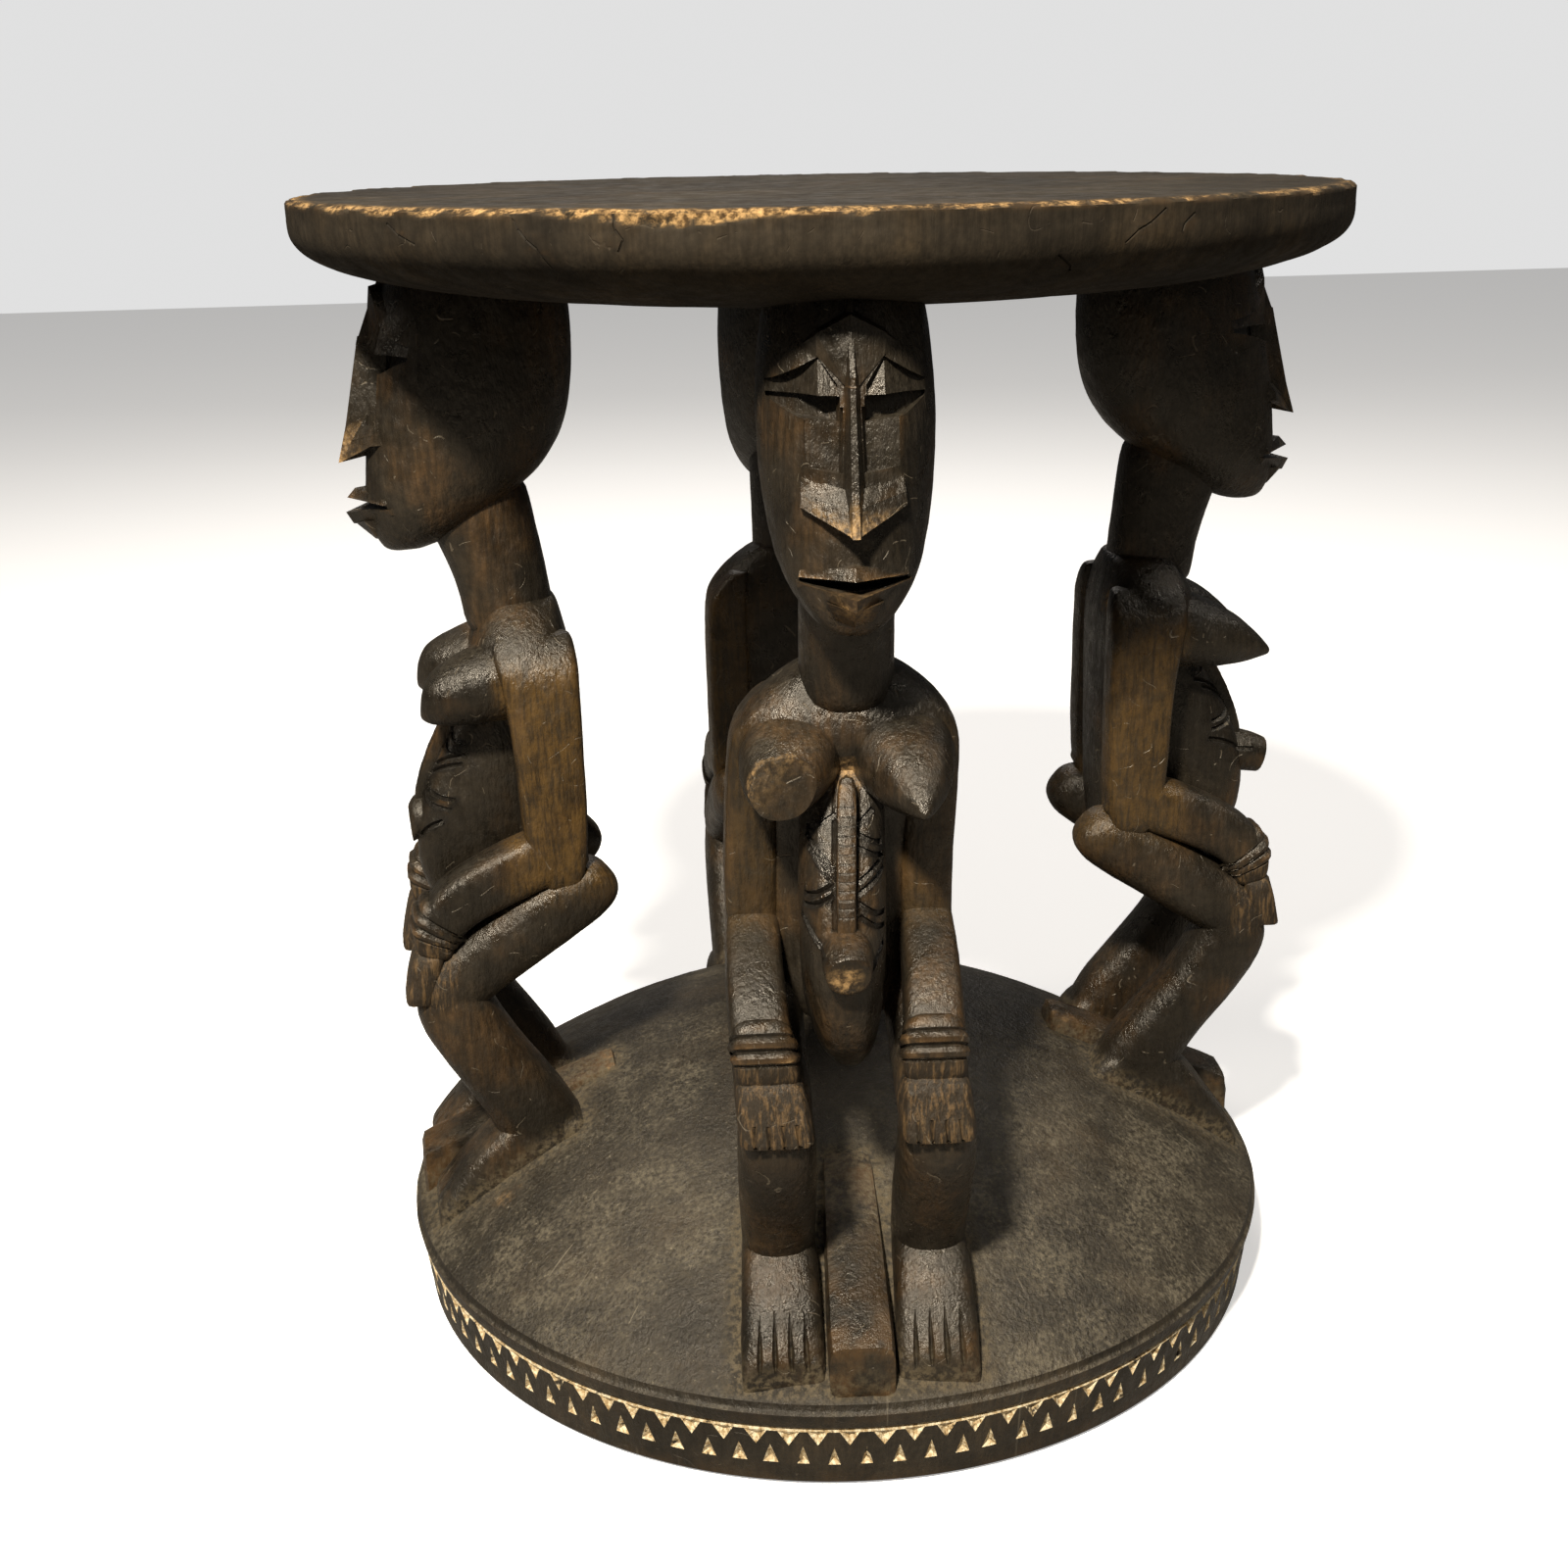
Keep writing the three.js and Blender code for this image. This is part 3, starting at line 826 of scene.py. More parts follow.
# Spots round the upper left of the break's rim: bare wood, lightened on the side that faces the key light
# as a painted highlight.
BREAK_RIM_BARE_AND_HIGHLIGHT = [(-28 + 12.8 * math.cos(angle), 187.5, 314 + 12 * math.sin(angle), 3.8)
             for angle in map(math.radians, range(70, 215, 18))]
NOSE_TIP = (0, 217, 414, 5)
BARE_SPOTS = {
    "front_woman": [(0, 163, 308, 12), (0, 158, 318, 7), (-2, 215, 238, 9), (0, 212, 389, 7),
                    (0, 217, 414, 6), *FINGER_TIPS, *BREAK_RIM_BARE_AND_HIGHLIGHT],
    "right_woman": [NOSE_TIP, (-24, 126, 330, 9)],
    "back_woman": [NOSE_TIP],
    "left_woman": [NOSE_TIP, (37, 200, 100, 7), (33, 160, 200, 8)],
}
women = []
for name, spot in SPOTS.items():
    twin = copy_of(woman, name)
    if name == "front_woman":
        cut(twin, chip(BREAST_BREAK))
    if name == "left_woman":
        blunt(twin)
    write_bare_and_rim_highlight(twin, BARE_SPOTS[name])
    write_regions(twin)
    tool_marks(twin, depth=0.3, width=9)
    set_down(twin, spot)
    women.append(twin)
bpy.data.objects.remove(woman)
print("women", [twin.name for twin in women])

# %% [markdown]
# ## Base and top
# Both were turned by eye with an adze, so they are nearly round. A ring pushed through a list of
# sections gives them; a spun profile would do the same, but the ring keeps its faces even.

# %% Base
ROUND = 384
RIM_RADIUS = 217
RIM = (
    (0, 212), (1.5, 214), (8, 214.6), (16, 215.6), (24, 216.4), (29.6, 217), (30.4, 216),
    (31.4, 215.6), (32, 217.4), (36, 219), (39.4, 219.4), (40.2, 218.2), (41, 217.6),
)


def disc(up, radius):
    """A round section about the table's axis."""
    return level(up, -radius, radius, radius)


rim_rows = [disc(up, out) for up, out in RIM]
dome_rows = [disc(dome(out) + 0.3, out) for out in np.linspace(RIM_RADIUS, 2, 80)]
base = whittle("base", rim_rows + dome_rows, squareness=1, sides=ROUND, rounds=0)
tool_marks(base, depth=0.35, width=18, above=31.5)

# %% [markdown]
# ## Notches round the rim
# Two rows of triangular notches, points towards each other, leave a zigzag between them, and still
# hold remains of a pale pigment. They could be drawn as a mask, but real cuts catch the light. For
# each row one three-sided spike is made and copied round the rim, no two quite alike, and all are
# cut away at once. Faces that then lie deeper than the rim are the painted ones.

# %% Notches
NOTCHES = 98
NOTCH_HALF = 4.4
NOTCH_DEPTH = 2.4
TIP_SHARE = 0.38
FLARE = 1.8
NOTCH_ROWS = ((20.4, 29.8, 0, 0.1), (20.8, 10.6, 0.5, 1.2))


def notch_tool(point_up, wide_up):
    """A three-sided spike; its wide edge and its point lie on the rim, its tip goes into the wood."""
    tip = (0, RIM_RADIUS - NOTCH_DEPTH, wide_up * (1 - TIP_SHARE) + point_up * TIP_SHARE)
    on_rim = [(x, RIM_RADIUS, up) for x, up in (
        (-NOTCH_HALF, wide_up), (NOTCH_HALF, wide_up), (0, point_up))]
    flared = [tuple(t + (p - t) * FLARE for p, t in zip(point, tip)) for point in on_rim]
    bpy.ops.object.select_all(action="DESELECT")
    bpy.ops.mesh.primitive_cone_add(
        vertices=3, radius1=MM, radius2=0, depth=MM, location=(0, 0, 0))
    piece = bpy.context.object
    tip_last = sorted(range(4), key=lambda i: piece.data.vertices[i].co.z)
    drag_corners(piece, tip_last, [*flared, tip])
    return piece


hand = random.Random(11)
spikes = []
for point_up, wide_up, shift, inset in NOTCH_ROWS:
    tool = notch_tool(point_up, wide_up)
    for i in range(NOTCHES):
        spike = copy_of(tool, "spike")
        angle = (i + shift + hand.uniform(-0.09, 0.09)) / NOTCHES * 2 * math.pi
        width = hand.uniform(0.84, 1.12)
        points = points_of(spike) * (width, 1, 1) + (0, inset * MM, hand.uniform(-0.5, 0.3) * MM)
        round_the_rim = np.array(Matrix.Rotation(angle, 3, "Z"))
        set_points(spike, points @ round_the_rim.T)
        spikes.append(spike)
    bpy.data.objects.remove(tool)
cut(base, join("spikes", spikes))
print("base", len(base.data.polygons), "faces,", len(NOTCH_ROWS) * NOTCHES, "notches")

# %% Painted faces
PAINT_DEPTH = 0.22
GROOVE_PAINT = 0.75
centres = read_all(base.data.polygons, "center").astype(float) / MM
heights = centres[:, 2]
in_rows = (heights > 6) & (heights < 30.6)
in_groove = (heights > 29.7) & (heights < 31.8)
sunk = np.interp(heights, *zip(*RIM)) - np.hypot(centres[:, 0], centres[:, 1])
painted = np.where(in_rows & (sunk > PAINT_DEPTH), 1.0, in_groove * GROOVE_PAINT)
write_mask(base, "pigment", painted, "FACE")
write_bare_and_rim_highlight(base, [(-175, 65, 72, 9), (-168, 62, 76, 7)])
print("painted faces", int((painted > 0).sum()))

# %% Top
TOP_RADIUS = 232
SIDE_FOOT = 521
BOWL_DEPTH = 36
BOWL_ROWS = 60
top_rows = []
for i in range(1, BOWL_ROWS + 1):
    angle = i / BOWL_ROWS * math.pi / 2
    up = SIDE_FOOT - BOWL_DEPTH * math.cos(angle) ** 0.7
    top_rows.append(disc(up, TOP_RADIUS * math.sin(angle) ** 0.8))
top_rows += [disc(up, 231.9) for up in range(522, 529)]
top_rows += [disc(529, 231.2), disc(530, 229.5)]
top_rows += [disc(530, out) for out in np.linspace(226, 2, 50)]
top = whittle("top", top_rows, squareness=1, sides=ROUND, rounds=0)
tool_marks(top, depth=0.35, width=22)

# %% [markdown]
# ## The top's worn edge
# Knocks have chipped the upper edge down to the bare wood, most of all in front, and the side has
# dried into short cracks. A bevel would wear the edge evenly, so noise decides how far down and how
# deep each place is chipped, and the same share says where the wood is bare.

# %% Chip the edge
WORN_PLACES = ((2.4, -20, 9), (1.6, -24, 34))
WORN_ALL_ROUND = 0.5
EDGE_UP, EDGE_OUT = 529.5, (224, 229)
UPPER_FACE = 528.5


def wear_edge(piece):
    """Chips the upper edge and marks the bare wood. A worn place is (height, degrees, spread)."""
    points = points_of(piece)
    up = points[:, 2] / MM
    out = np.hypot(points[:, 0], points[:, 1])
    angle = np.degrees(np.arctan2(points[:, 0], -points[:, 1]))
    band = WORN_ALL_ROUND * (1 + np.cos(np.radians(angle * 2 + 130)))
    for high, middle, spread in WORN_PLACES:
        band += high * np.exp(-((angle - middle) / spread) ** 2)
    coarse, fine = (np.array([noise.noise(Vector(point) * size) for point in points])
                    for size in (70, 210))
    rough = coarse + 0.6 * fine
    flakes = np.array([noise.voronoi(Vector(point) * 160)[0][0] for point in points])
    lowest = EDGE_UP - band - 3 * rough
    share = smooth(-0.3, 0.7, up - lowest) * smooth(*EDGE_OUT, out / MM)
    sink = share * (0.5 + 1.6 * np.clip(flakes, 0, 1) + 0.4 * rough) * MM
    points[:, :2] *= (1 - sink / out)[:, None]
    points[:, 2] -= 0.5 * sink * (up > UPPER_FACE)
    set_points(piece, points)
    write_mask(piece, "bared_and_rim_highlight", share)
    return share


chipped = wear_edge(top)
print("top, bare share of its points", round(float(chipped.mean()), 3))

# %% Crack the side
CRACK_WIDTH = 1.1
CRACKS = (
    [(-36.4, 530), (-35.4, 523), (-34.6, 519.5), (-33.6, 516.5), (-33.2, 513.5), (-32.6, 510)],
    [(-26.4, 530), (-26.1, 523), (-25.4, 519.5), (-25.9, 515.5)],
    [(-51.4, 524), (-49.8, 520), (-47.6, 517)],
    [(22.6, 526), (21, 521.5), (19.6, 519), (18.4, 515)],
    [(26, 524), (24.8, 520.5), (24.6, 518)],
    [(12, 512), (13.6, 508), (14, 506)],
)
top_tree = skin_of(top)[0]


def on_side(degrees, up):
    """A point on the top's side, or just inside its radius where the ray finds nothing."""
    angle = math.radians(degrees)
    away = Vector((math.sin(angle), -math.cos(angle), 0))
    height = Vector((0, 0, up * MM))
    hit = top_tree.ray_cast(away * FAR + height, -away)[0]
    return hit - away * 0.05 * MM if hit else away * 230.5 * MM + height


for crack in CRACKS:
    for start, end in zip(crack, crack[1:]):
        cut(top, rod([on_side(*spot) for spot in share_out(start, end, 3)], CRACK_WIDTH))
print("top", len(top.data.polygons), "faces")

# %% [markdown]
# ## Placing nodes
# Floor, backdrop and finishes are all node trees. Each could be wired node by node, but that takes
# three lines a node, so a small board places a node, fills its sockets and links it in one call.

# %% Node helpers
FLOAT, VECTOR, COLOUR = "NodeSocketFloat", "NodeSocketVector", "NodeSocketColor"


class Board:
    """Places nodes in a tree and links them; a value may be a number, a colour or a socket."""

    def __init__(self, tree):
        self.tree = tree

    def put(self, socket, value):
        if isinstance(value, bpy.types.NodeSocket):
            self.tree.links.new(value, socket)
        elif value is not None:
            socket.default_value = value

    def node(self, kind, inputs=(), **settings):
        made = self.tree.nodes.new(kind)
        for key, value in settings.items():
            setattr(made, key, value)
        for key, value in dict(inputs).items():
            self.put(made.inputs[key], value)
        return made

    def group(self, tree, **values):
        return self.node("ShaderNodeGroup", values, node_tree=tree).outputs

    def math(self, operation, *values):
        return self.node("ShaderNodeMath", enumerate(values), operation=operation).outputs[0]

    def product(self, first, *others):
        for other in others:
            first = self.math("MULTIPLY", first, other)
        return first

    def mix(self, share, first, second):
        return self.node("ShaderNodeMix", {0: share, 6: first, 7: second}, data_type="RGBA").outputs[2]

    def ramp(self, value, low, high, start=0.0, end=1.0):
        values = enumerate((value, low, high, start, end))
        return self.node("ShaderNodeMapRange", values, interpolation_type="SMOOTHSTEP").outputs[0]

    def noise(self, where, size, detail=4, roughness=0.55, distortion=0.0):
        return self.node("ShaderNodeTexNoise", {
            "Vector": where, "Scale": size, "Detail": detail, "Roughness": roughness,
            "Distortion": distortion,
        }).outputs["Fac"]

    def stretched(self, where, along):
        return self.node("ShaderNodeMapping", {"Vector": where, "Scale": along}).outputs[0]

    def parts(self, where):
        return self.node("ShaderNodeSeparateXYZ", {0: where}).outputs

    def whole(self, x, y, z=0.0):
        return self.node("ShaderNodeCombineXYZ", {0: x, 1: y, 2: z}).outputs[0]


def group_of(name, inputs, outputs):
    """A new node group, its board, the values it is given and the sockets for its results."""
    tree = bpy.data.node_groups.new(name, "ShaderNodeTree")
    for socket, kind, value in inputs:
        item = tree.interface.new_socket(socket, in_out="INPUT", socket_type=kind)
        item.default_value = value
    for socket, kind in outputs:
        tree.interface.new_socket(socket, in_out="OUTPUT", socket_type=kind)
    board = Board(tree)
    given = board.node("NodeGroupInput").outputs
    return tree, board, given, board.node("NodeGroupOutput").inputs


def new_tree(owner, node):
    """Turns the nodes of a material or world on; gives its board and the inputs of one node."""
    owner.use_nodes = True
    return Board(owner.node_tree), owner.node_tree.nodes[node].inputs


# %% [markdown]
# ## Light and floor
# The table stands on a pale floor, yet its shaded heads and shins are nearly black, because little
# light comes back from the floor. A dark floor would do that too, but it wouldn't look pale. So the
# Light Path node tells a ray from the camera, which sees the floor and backdrop pale, from a bounce,
# which finds them dark.

# %% Floor
FLOOR_SIZE = 12
SEEN_FLOOR = (0.95, 0.945, 0.94, 1)
BOUNCE_FLOOR = (0.2, 0.19, 0.175, 1)
FLOOR_GLOW = 0.4

bpy.ops.object.select_all(action="DESELECT")
bpy.ops.mesh.primitive_plane_add(size=FLOOR_SIZE, location=(0, 0, -0.5 * MM))
floor = bpy.context.object
floor.name = "floor"
paper = bpy.data.materials.new("pale_floor")
b, paper_inputs = new_tree(paper, "Principled BSDF")
seen = b.node("ShaderNodeLightPath").outputs["Is Camera Ray"]
b.put(paper_inputs["Base Color"], b.mix(seen, BOUNCE_FLOOR, SEEN_FLOOR))
b.put(paper_inputs["Roughness"], 0.9)
b.put(paper_inputs["Specular IOR Level"], 0.1)
b.put(paper_inputs["Emission Color"], (1, 0.99, 0.98, 1))
b.put(paper_inputs["Emission Strength"], b.math("MULTIPLY", seen, FLOOR_GLOW))
floor.data.materials.append(paper)

# %% Lights and backdrop
AIM = Vector((0, 0, 0.3))


def area_light(name, azimuth, elevation, distance, size, power, colour):
    """A round light that looks at the table; its angles are in degrees, its power in watts."""
    azimuth, elevation = math.radians(azimuth), math.radians(elevation)
    level_share = math.cos(elevation)
    away = Vector((math.sin(azimuth) * level_share, -math.cos(azimuth) * level_share, math.sin(elevation)))
    bpy.ops.object.light_add(type="AREA", location=away * distance + AIM)
    light = bpy.context.object
    light.name = name
    light.data.shape = "DISK"
    light.data.size = size
    light.data.energy = power
    light.data.color = colour
    light.rotation_euler = away.to_track_quat("Z", "Y").to_euler()


area_light("key", -24, 44.5, 1.95, 0.18, 94, (1, 0.93, 0.82))
area_light("fill", 20, 28, 2.8, 1.6, 3, (1, 0.95, 0.86))
area_light("side_left", -90, 40, 2.2, 0.7, 11, (1, 0.93, 0.82))
area_light("side_right", 88, 48, 2.2, 0.6, 11, (1, 0.95, 0.88))
area_light("back", 175, 40, 2.4, 0.9, 16, (1, 0.95, 0.9))

BACKDROP_SEEN = 0.7
BACKDROP_BOUNCE = 0.05
world = bpy.data.worlds.new("studio")
bpy.context.scene.world = world
b, backdrop_inputs = new_tree(world, "Background")
seen = b.node("ShaderNodeLightPath").outputs["Is Camera Ray"]
b.put(backdrop_inputs["Color"], (1, 1, 1, 1))
b.put(backdrop_inputs["Strength"], b.math("MULTIPLY_ADD", seen, BACKDROP_SEEN, BACKDROP_BOUNCE))
bpy.context.scene.view_settings.view_transform = "Standard"

# %% [markdown]
# ## Masks measured on the mesh
# Handling polishes and bares the ridges of a carving, dust stays in its hollows, and the hollows are
# darkened as painted shade.
# A material could ask the renderer for ridges, but then they would exist in that renderer alone. So
# the bend of the surface round each point is measured on the mesh, evened over its neighbours, and
# kept there as a mask.

# %% Ridges and hollows
def even_out(values, ends, starts, times):
    count = len(values)
    near = np.bincount(ends, minlength=count) + 1
    for _ in range(times):
        values = (values + np.bincount(ends, weights=values[starts], minlength=count)) / near
    return values


def measure_bend(piece):
    """How far the normals of neighbours spread: above 0 on a ridge, below 0 in a hollow."""
    points, normals = points_of(piece), normals_of(piece)
    edges = read_all(piece.data.edges, "vertices", 2, np.int32)
    starts = np.concatenate([edges[:, 0], edges[:, 1]])
    ends = np.concatenate([edges[:, 1], edges[:, 0]])
    across = points[ends] - points[starts]
    length = np.maximum(np.linalg.norm(across, axis=1), 1e-5)
    bend = np.einsum("ij,ij->i", normals[ends] - normals[starts], across) / length
    count = len(points)
    neighbours = np.maximum(np.bincount(ends, minlength=count), 1)
    bend = np.bincount(ends, weights=bend, minlength=count) / neighbours
    return even_out(bend, ends, starts, times=2)


def write_bends(piece):
    bend = measure_bend(piece)
    ridge, hollow = smooth(0.06, 0.5, bend), smooth(0.04, 0.4, -bend)
    write_mask(piece, "ridge", ridge)
    write_mask(piece, "hollow", hollow)
    print(piece.name, "ridge", round(float(ridge.mean()), 3), "hollow", round(float(hollow.mean()), 3))


# %% Dirt where feet meet the base
FEET_LOW, FEET_HIGH = 45 * MM, 130 * MM
DIRT_REACH = 14 * MM


def write_dirt(piece, others):
    """Dirt gathers near the other pieces, at the height of the feet."""
    points = points_of(piece)
    near = np.full(len(points), 1.0)
    for other in others:
        other_tree = skin_of(other)[0]
        for i, point in enumerate(points):
            if FEET_LOW < point[2] < FEET_HIGH:
                away = other_tree.find_nearest(Vector(point), DIRT_REACH)[3]
                near[i] = min(near[i], away or 1.0)
    write_mask(piece, "dirt", 1 - smooth(1 * MM, 11 * MM, near))


# %% [markdown]
# ## The finish
# The wood was stained nearly black, then rubbed, handled and dusted for decades. Each effect is a
# node group, made once and used by every wood with its own strengths. The first is the stain: thin
# streaks along the grain, warmer patches where it has faded, and a mottle over both. A wave texture
# gives grain too, but stretched noise has no regular bands.

# %% Stain and grain
ORIGIN = (0, 0, 0)
ALONG_GRAIN = (420, 420, 36)

stained_grain, b, given, result = group_of("stained_grain", [
    ("Where", VECTOR, ORIGIN), ("Stain", COLOUR, (0.02, 0.014, 0.009, 1)),
    ("Warm", COLOUR, (0.09, 0.045, 0.018, 1)), ("Warmth", FLOAT, 0.5),
], [("Color", COLOUR)])
where = given["Where"]
streaks = b.noise(b.stretched(where, ALONG_GRAIN), 1, 6, 0.62)
cloud = b.noise(where, 26, 3, 0.5)
fine = b.noise(where, 310, 4, 0.6)
mottle = b.noise(where, 17, 5, 0.6, 0.5)
faded = b.product(b.ramp(cloud, 0.47, 0.7), given["Warmth"], b.ramp(streaks, 0.3, 0.66, 0.45, 1.0))
tone = b.product(b.ramp(streaks, 0.25, 0.75, 0.7, 1.25), b.ramp(fine, 0.3, 0.75, 0.8, 1.25),
                 b.ramp(mottle, 0.38, 0.62, 0.6, 1.25))
toned = b.node("ShaderNodeVectorMath", {
    0: b.mix(faded, given["Stain"], given["Warm"]), "Scale": tone,
}, operation="SCALE")
b.put(result["Color"], toned.outputs[0])

# %% [markdown]
# Hands wear a ridge in two steps: first the black thins to brown, then bare wood shows in spots.
# Noise breaks both up, so no edge is worn all along.

# %% Worn ridges
worn_ridges, b, given, result = group_of("worn_ridges", [
    ("Where", VECTOR, ORIGIN), ("Ridge", FLOAT, 0.0), ("Amount", FLOAT, 0.6),
], [("Worn", FLOAT), ("Bare", FLOAT)])
rub = b.noise(given["Where"], 62, 4, 0.6)
spots = b.noise(given["Where"], 240, 3, 0.6)
worn = b.product(given["Ridge"], b.ramp(rub, 0.38, 0.66), given["Amount"])
bare = b.product(b.ramp(given["Ridge"], 0.55, 1.0), b.ramp(spots, 0.46, 0.66),
                 b.ramp(rub, 0.44, 0.7), given["Amount"])
b.put(result["Worn"], worn)
b.put(result["Bare"], bare)

# %% [markdown]
# Dust lies on what faces up and stays in hollows. It could be spread evenly, but on old wood it
# clings in drifts and blotches, and single pale specks sit on top.

# %% Dust on what faces up
settled_dust, b, given, result = group_of("settled_dust", [
    ("Where", VECTOR, ORIGIN), ("Normal", VECTOR, (0, 0, 1)),
    ("Hollow", FLOAT, 0.0), ("Amount", FLOAT, 0.5),
], [("Dust", FLOAT), ("Speck", FLOAT)])
where = given["Where"]
upward = b.ramp(b.parts(given["Normal"])[2], 0.25, 0.95)
drift = b.noise(where, 10, 5, 0.62, 0.4)
speckle = b.noise(where, 460, 4, 0.75)
blotch = b.noise(where, 48, 4, 0.68)
held = b.math("MAXIMUM", upward, b.math("MULTIPLY", given["Hollow"], 0.7))
dust = b.product(b.ramp(drift, 0.36, 0.64, 0.1, 1.0), b.ramp(speckle, 0.4, 0.6, 0.1, 1.0),
                 b.ramp(blotch, 0.4, 0.6, 0.3, 1.0), held, given["Amount"])
b.put(result["Dust"], dust)
b.put(result["Speck"], b.product(b.ramp(speckle, 0.63, 0.7), upward))

# %% [markdown]
# The notches were once filled with pale pigment, of which most is left. Patches have fallen out,
# and what stays is flaked down to a darker old layer.

# %% Pale pigment
OLD_PIGMENT = (0.36, 0.25, 0.12, 1)
PALE_PIGMENT = (0.72, 0.62, 0.42, 1)

pale_pigment, b, given, result = group_of("pale_pigment", [
    ("Where", VECTOR, ORIGIN), ("Painted", FLOAT, 0.0),
], [("Pigment", FLOAT), ("Color", COLOUR)])
patches = b.noise(given["Where"], 95, 4, 0.65)
flaked = b.noise(given["Where"], 420, 3, 0.7)
left_over = b.product(b.ramp(patches, 0.34, 0.42), b.ramp(flaked, 0.3, 0.4), given["Painted"])
b.put(result["Pigment"], left_over)
b.put(result["Color"], b.mix(b.ramp(flaked, 0.4, 0.65), OLD_PIGMENT, PALE_PIGMENT))

# %% [markdown]
# Two kinds of thin line remain. Dry scratches run outwards on the dome, so their noise is read in
# angle and radius. Hairlines wander over all the wood: they are the narrow band where a soft noise
# passes through its middle value.

# %% Dry scratches
AROUND, OUTWARDS = 95.0, 34.0

dry_scratches, b, given, result = group_of("dry_scratches", [
    ("Where", VECTOR, ORIGIN)], [("Scratch", FLOAT)])
x, y, _ = b.parts(given["Where"])
angle = b.math("ARCTAN2", y, x)
radius = b.node("ShaderNodeVectorMath", {0: b.whole(x, y)}, operation="LENGTH").outputs["Value"]
fan = b.whole(b.math("MULTIPLY", angle, AROUND), b.math("MULTIPLY", radius, OUTWARDS))
lines = b.product(b.ramp(b.noise(fan, 1, 2, 0.5), 0.68, 0.74), b.ramp(radius, 0.13, 0.175))
places = b.ramp(b.noise(given["Where"], 11, 2, 0.5), 0.5, 0.66)
b.put(result["Scratch"], b.product(lines, places))

# %% Hairlines
hairlines, b, given, result = group_of("hairlines", [("Where", VECTOR, ORIGIN)], [("Line", FLOAT)])
from_middle = b.math("ABSOLUTE", b.math("SUBTRACT", b.noise(given["Where"], 48, 1, 0.3), 0.5))
places = b.ramp(b.noise(given["Where"], 150, 2, 0.5), 0.56, 0.6)
b.put(result["Line"], b.product(b.ramp(from_middle, 0.007, 0.002), places))
print("groups", [group.name for group in bpy.data.node_groups])

# %% [markdown]
# ## One wood, several strengths
# Figures, base and top are one wood, but hands polish the figures, dust lies on the base, and the
# top is dry and dull. Three separate materials would drift apart, so one function lays the effects
# over each other, from the stain outwards to the pigment, and takes their strengths.

# %% Tints
CREVICE_SHADE = (0.004, 0.003, 0.002, 1)
THINNED = (0.085, 0.045, 0.016, 1)
BARED = (0.32, 0.2, 0.09, 1)
FIBRE_DARK, FIBRE_LIGHT = (0.014, 0.009, 0.0045, 1), (0.085, 0.05, 0.02, 1)
RUBBED_ARM = (0.08, 0.044, 0.012, 1)
GROOVE_SHADE_TINT = (0.003, 0.0025, 0.002, 1)
HAIRLINE = (0.16, 0.13, 0.09, 1)
DUST, SPECK = (0.1, 0.084, 0.056, 1), (0.15, 0.125, 0.085, 1)
DIRT = (0.075, 0.057, 0.032, 1)
CHIP_DARK, CHIP_LIGHT = (0.05, 0.028, 0.011, 1), (0.36, 0.22, 0.09, 1)
SCRATCH = (0.2, 0.17, 0.12, 1)
SHEEN_TINT = (1, 0.93, 0.82, 1)
THREADS, FIBRES, RIPPLES = (520, 520, 60), (900, 900, 90), (1, 1, 0.45)
MASKS = ("ridge", "hollow", "bared_and_rim_highlight", "dirt", "pigment", "fibrous", "warmed", "groove_shaded")


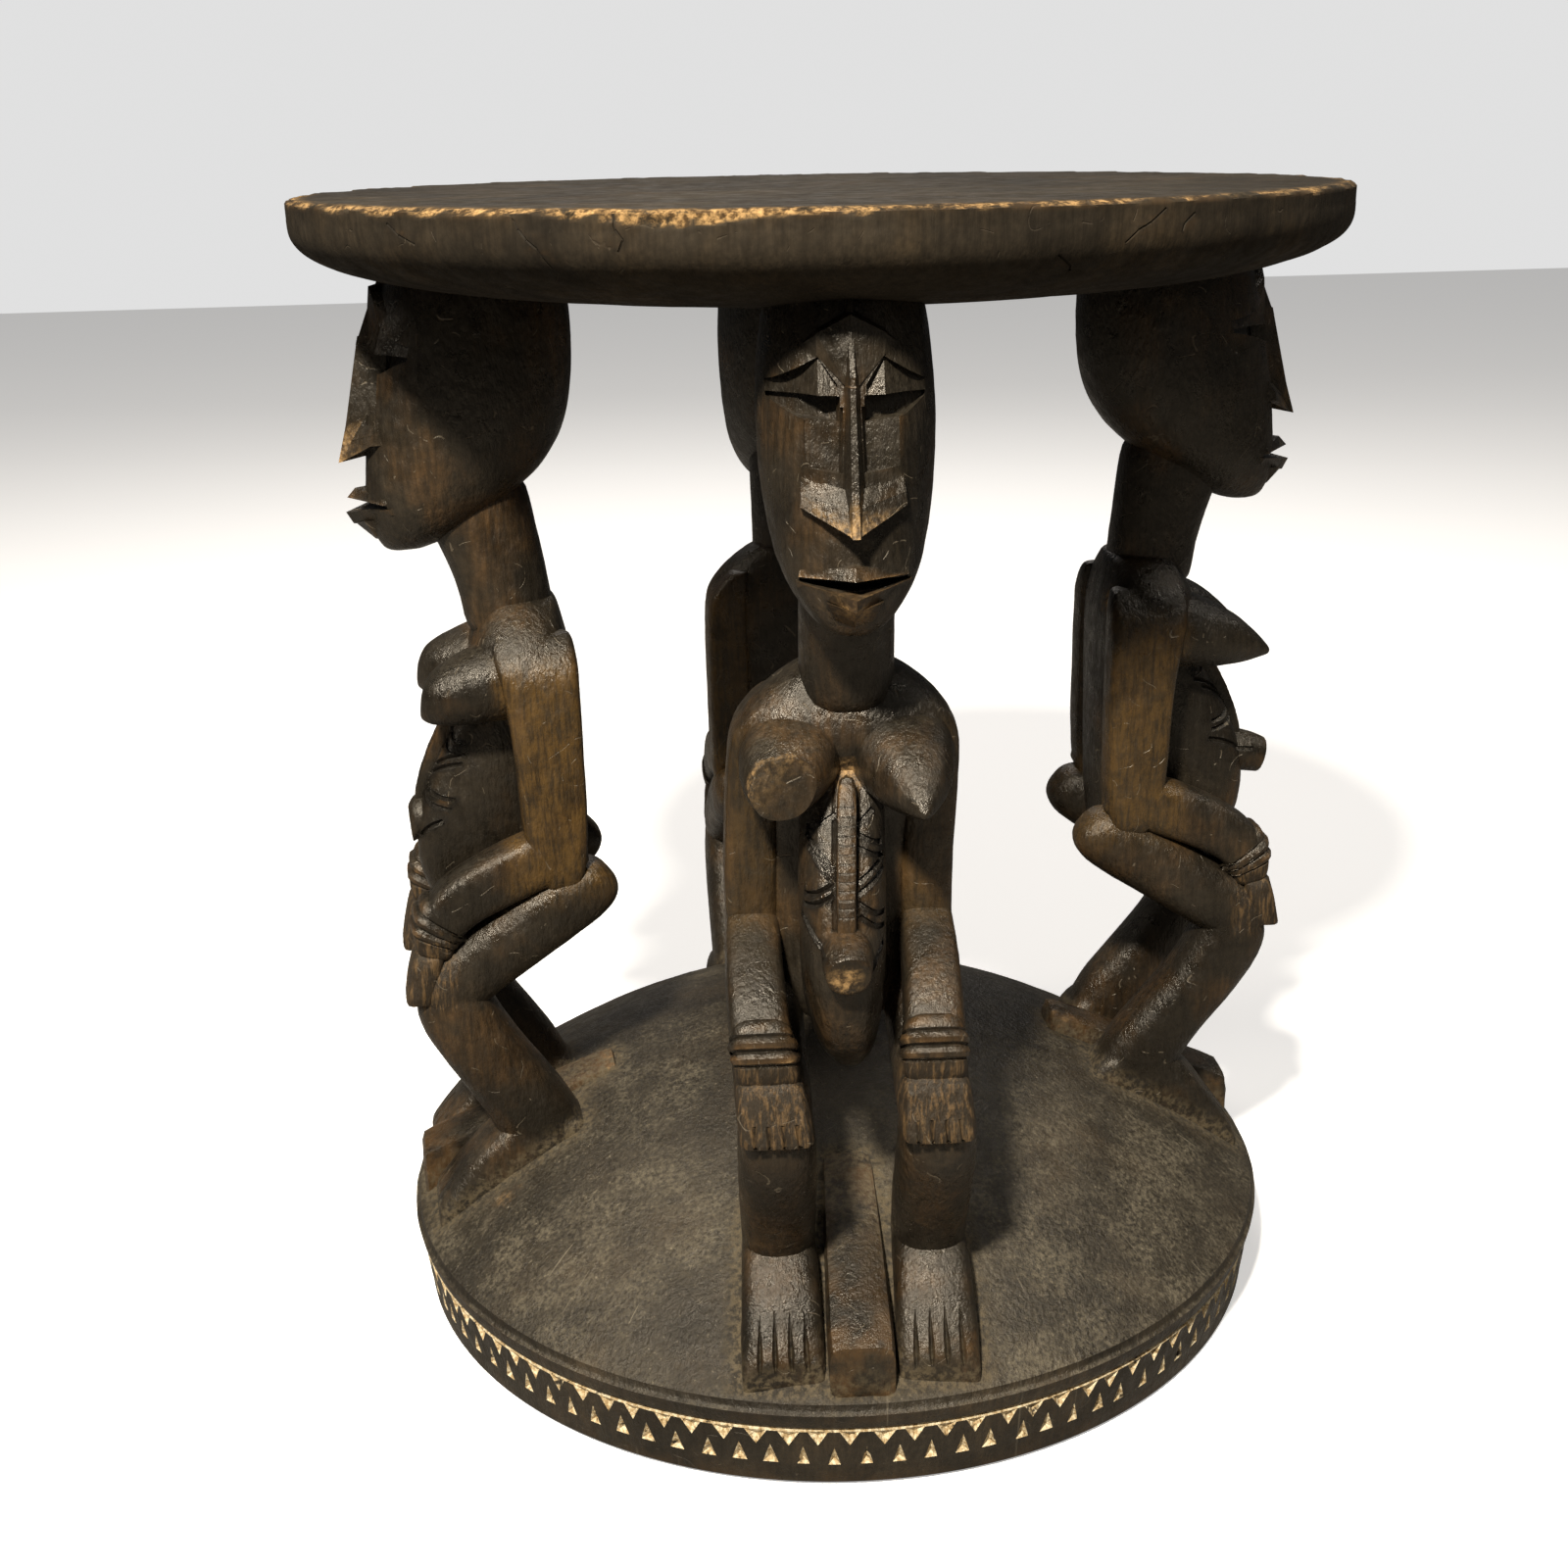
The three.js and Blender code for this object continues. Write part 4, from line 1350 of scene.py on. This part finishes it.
# %% Lay the effects over each other
def carved_wood(name, stain, warm, warmth, worn, dust, roughness,
                scratched=0.0, pitted=0.4, haired=0.1, shine=0.42):
    """Strengths are shares from 0 to 1, except pitted, which is the depth of the fine pits."""
    made = bpy.data.materials.new(name)
    b, shader = new_tree(made, "Principled BSDF")
    where = b.node("ShaderNodeTexCoord").outputs["Object"]
    normal = b.node("ShaderNodeNewGeometry").outputs["Normal"]
    ridge, hollow, bared_and_rim_highlight, dirt, painted, fibrous, warmed, groove_shaded = (
        b.node("ShaderNodeAttribute", attribute_name=key).outputs["Fac"] for key in MASKS)

    grain = b.group(stained_grain, Where=where, Stain=stain, Warm=warm, Warmth=warmth)
    wear = b.group(worn_ridges, Where=where, Ridge=ridge, Amount=worn)
    dusting = b.group(settled_dust, Where=where, Normal=normal, Hollow=hollow, Amount=dust)
    paint = b.group(pale_pigment, Where=where, Painted=painted)
    scratches = b.group(dry_scratches, Where=where)
    hairs = b.group(hairlines, Where=where)
    threads = b.noise(b.stretched(where, THREADS), 1, 4, 0.7)
    crumbs = b.noise(where, 330, 3, 0.7)
    patch = b.noise(where, 130, 4, 0.7)

    fibre = b.mix(b.ramp(threads, 0.46, 0.66), FIBRE_DARK, FIBRE_LIGHT)
    chipped = b.mix(b.ramp(crumbs, 0.36, 0.66), CHIP_DARK, CHIP_LIGHT)
    rubbed = b.product(warmed, b.ramp(threads, 0.36, 0.58, 0.25, 0.85),
                       b.ramp(patch, 0.36, 0.6, 0.45, 1.0))
    colour = grain["Color"]
    for share, tint in (
        # Painted shade: the measured hollows are darkened towards near black.
        (b.product(hollow, 0.6), CREVICE_SHADE),
        (wear["Worn"], THINNED),
        (wear["Bare"], BARED),
        (b.product(fibrous, b.ramp(threads, 0.3, 0.46, 0.35, 1.0)), fibre),
        (rubbed, RUBBED_ARM),
        # Painted shade in the scar grooves, near black.
        (b.product(groove_shaded, 0.75), GROOVE_SHADE_TINT),
        (b.product(hairs["Line"], haired), HAIRLINE),
        (dusting["Dust"], DUST),
        (b.product(dusting["Speck"], dust), SPECK),
        (b.product(dirt, b.ramp(crumbs, 0.4, 0.62)), DIRT),
        # Chip colours where the wood is bare; round the front woman's break they are also a painted
        # highlight on the rim.
        (b.product(bared_and_rim_highlight, b.ramp(patch, 0.36, 0.56)), chipped),
        (b.product(scratches["Scratch"], scratched), SCRATCH),
        (paint["Pigment"], paint["Color"]),
    ):
        colour = b.mix(share, colour, tint)
    b.put(shader["Base Color"], colour)

    rough = b.ramp(b.noise(where, 120, 4, 0.6), 0.3, 0.7, roughness - 0.1, roughness + 0.14)
    for amount, mask in ((0.3, dusting["Dust"]), (-0.08, ridge), (0.3, dirt), (0.25, bared_and_rim_highlight),
                         (0.4, painted), (0.3, fibrous)):
        rough = b.math("MULTIPLY_ADD", mask, amount, rough)
    b.put(shader["Roughness"], rough)
    b.put(shader["Specular IOR Level"], shine)
    b.put(shader["Specular Tint"], SHEEN_TINT)

    height = b.product(b.noise(b.stretched(where, FIBRES), 1, 4, 0.6), 0.35)
    for amount, mask in (
        (pitted, b.noise(b.stretched(where, RIPPLES), 460, 4, 0.65)),
        (1.2, b.noise(where, 55, 2, 0.4)),
        (0.5, b.product(dirt, crumbs)),
        (0.5, b.product(bared_and_rim_highlight, patch)),
        (1.6, b.product(fibrous, threads)),
        (-0.4, hairs["Line"]),
    ):
        height = b.math("MULTIPLY_ADD", mask, amount, height)
    bump = b.node("ShaderNodeBump", {"Strength": 0.75, "Distance": 0.7 * MM, "Height": height})
    b.put(shader["Normal"], bump.outputs[0])
    return made


body_wood = carved_wood(
    "handled_dark_wood", stain=(0.014, 0.0108, 0.007, 1), warm=(0.07, 0.036, 0.012, 1), warmth=0.5,
    worn=0.85, dust=0.2, roughness=0.33, pitted=1.7, haired=0.4)
base_wood = carved_wood(
    "dusty_dark_wood", stain=(0.016, 0.0125, 0.008, 1), warm=(0.034, 0.023, 0.012, 1), warmth=0.5,
    worn=0.7, dust=0.9, roughness=0.44, scratched=0.6, pitted=2.4, haired=0.15)
top_wood = carved_wood(
    "shaded_dark_wood", stain=(0.016, 0.012, 0.0075, 1), warm=(0.03, 0.02, 0.01, 1), warmth=0.6,
    worn=0.9, dust=0.2, roughness=0.78, shine=0.16)
for wood in (body_wood, base_wood, top_wood):
    print(wood.name, len(wood.node_tree.nodes), "nodes")

# %% [markdown]
# ## Onto the frame
# The six carved pieces stand where the frame's plain solid stands, and all take its place. Edges
# flatter than the given angle are shaded smooth, and the sharper ones stay crisp knife cuts.

# %% Finish and ride
CRISP = math.radians(38)

bpy.context.view_layer.update()
write_dirt(base, women)
for twin in women:
    write_dirt(twin, [base])
for piece, wood in ((top, top_wood), (base, base_wood), *((twin, body_wood) for twin in women)):
    write_bends(piece)
    piece.data.materials.clear()
    piece.data.materials.append(wood)
    select_only(piece)
    bpy.ops.object.shade_smooth_by_angle(angle=CRISP)
    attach(piece, "root")
    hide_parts("carved_table")
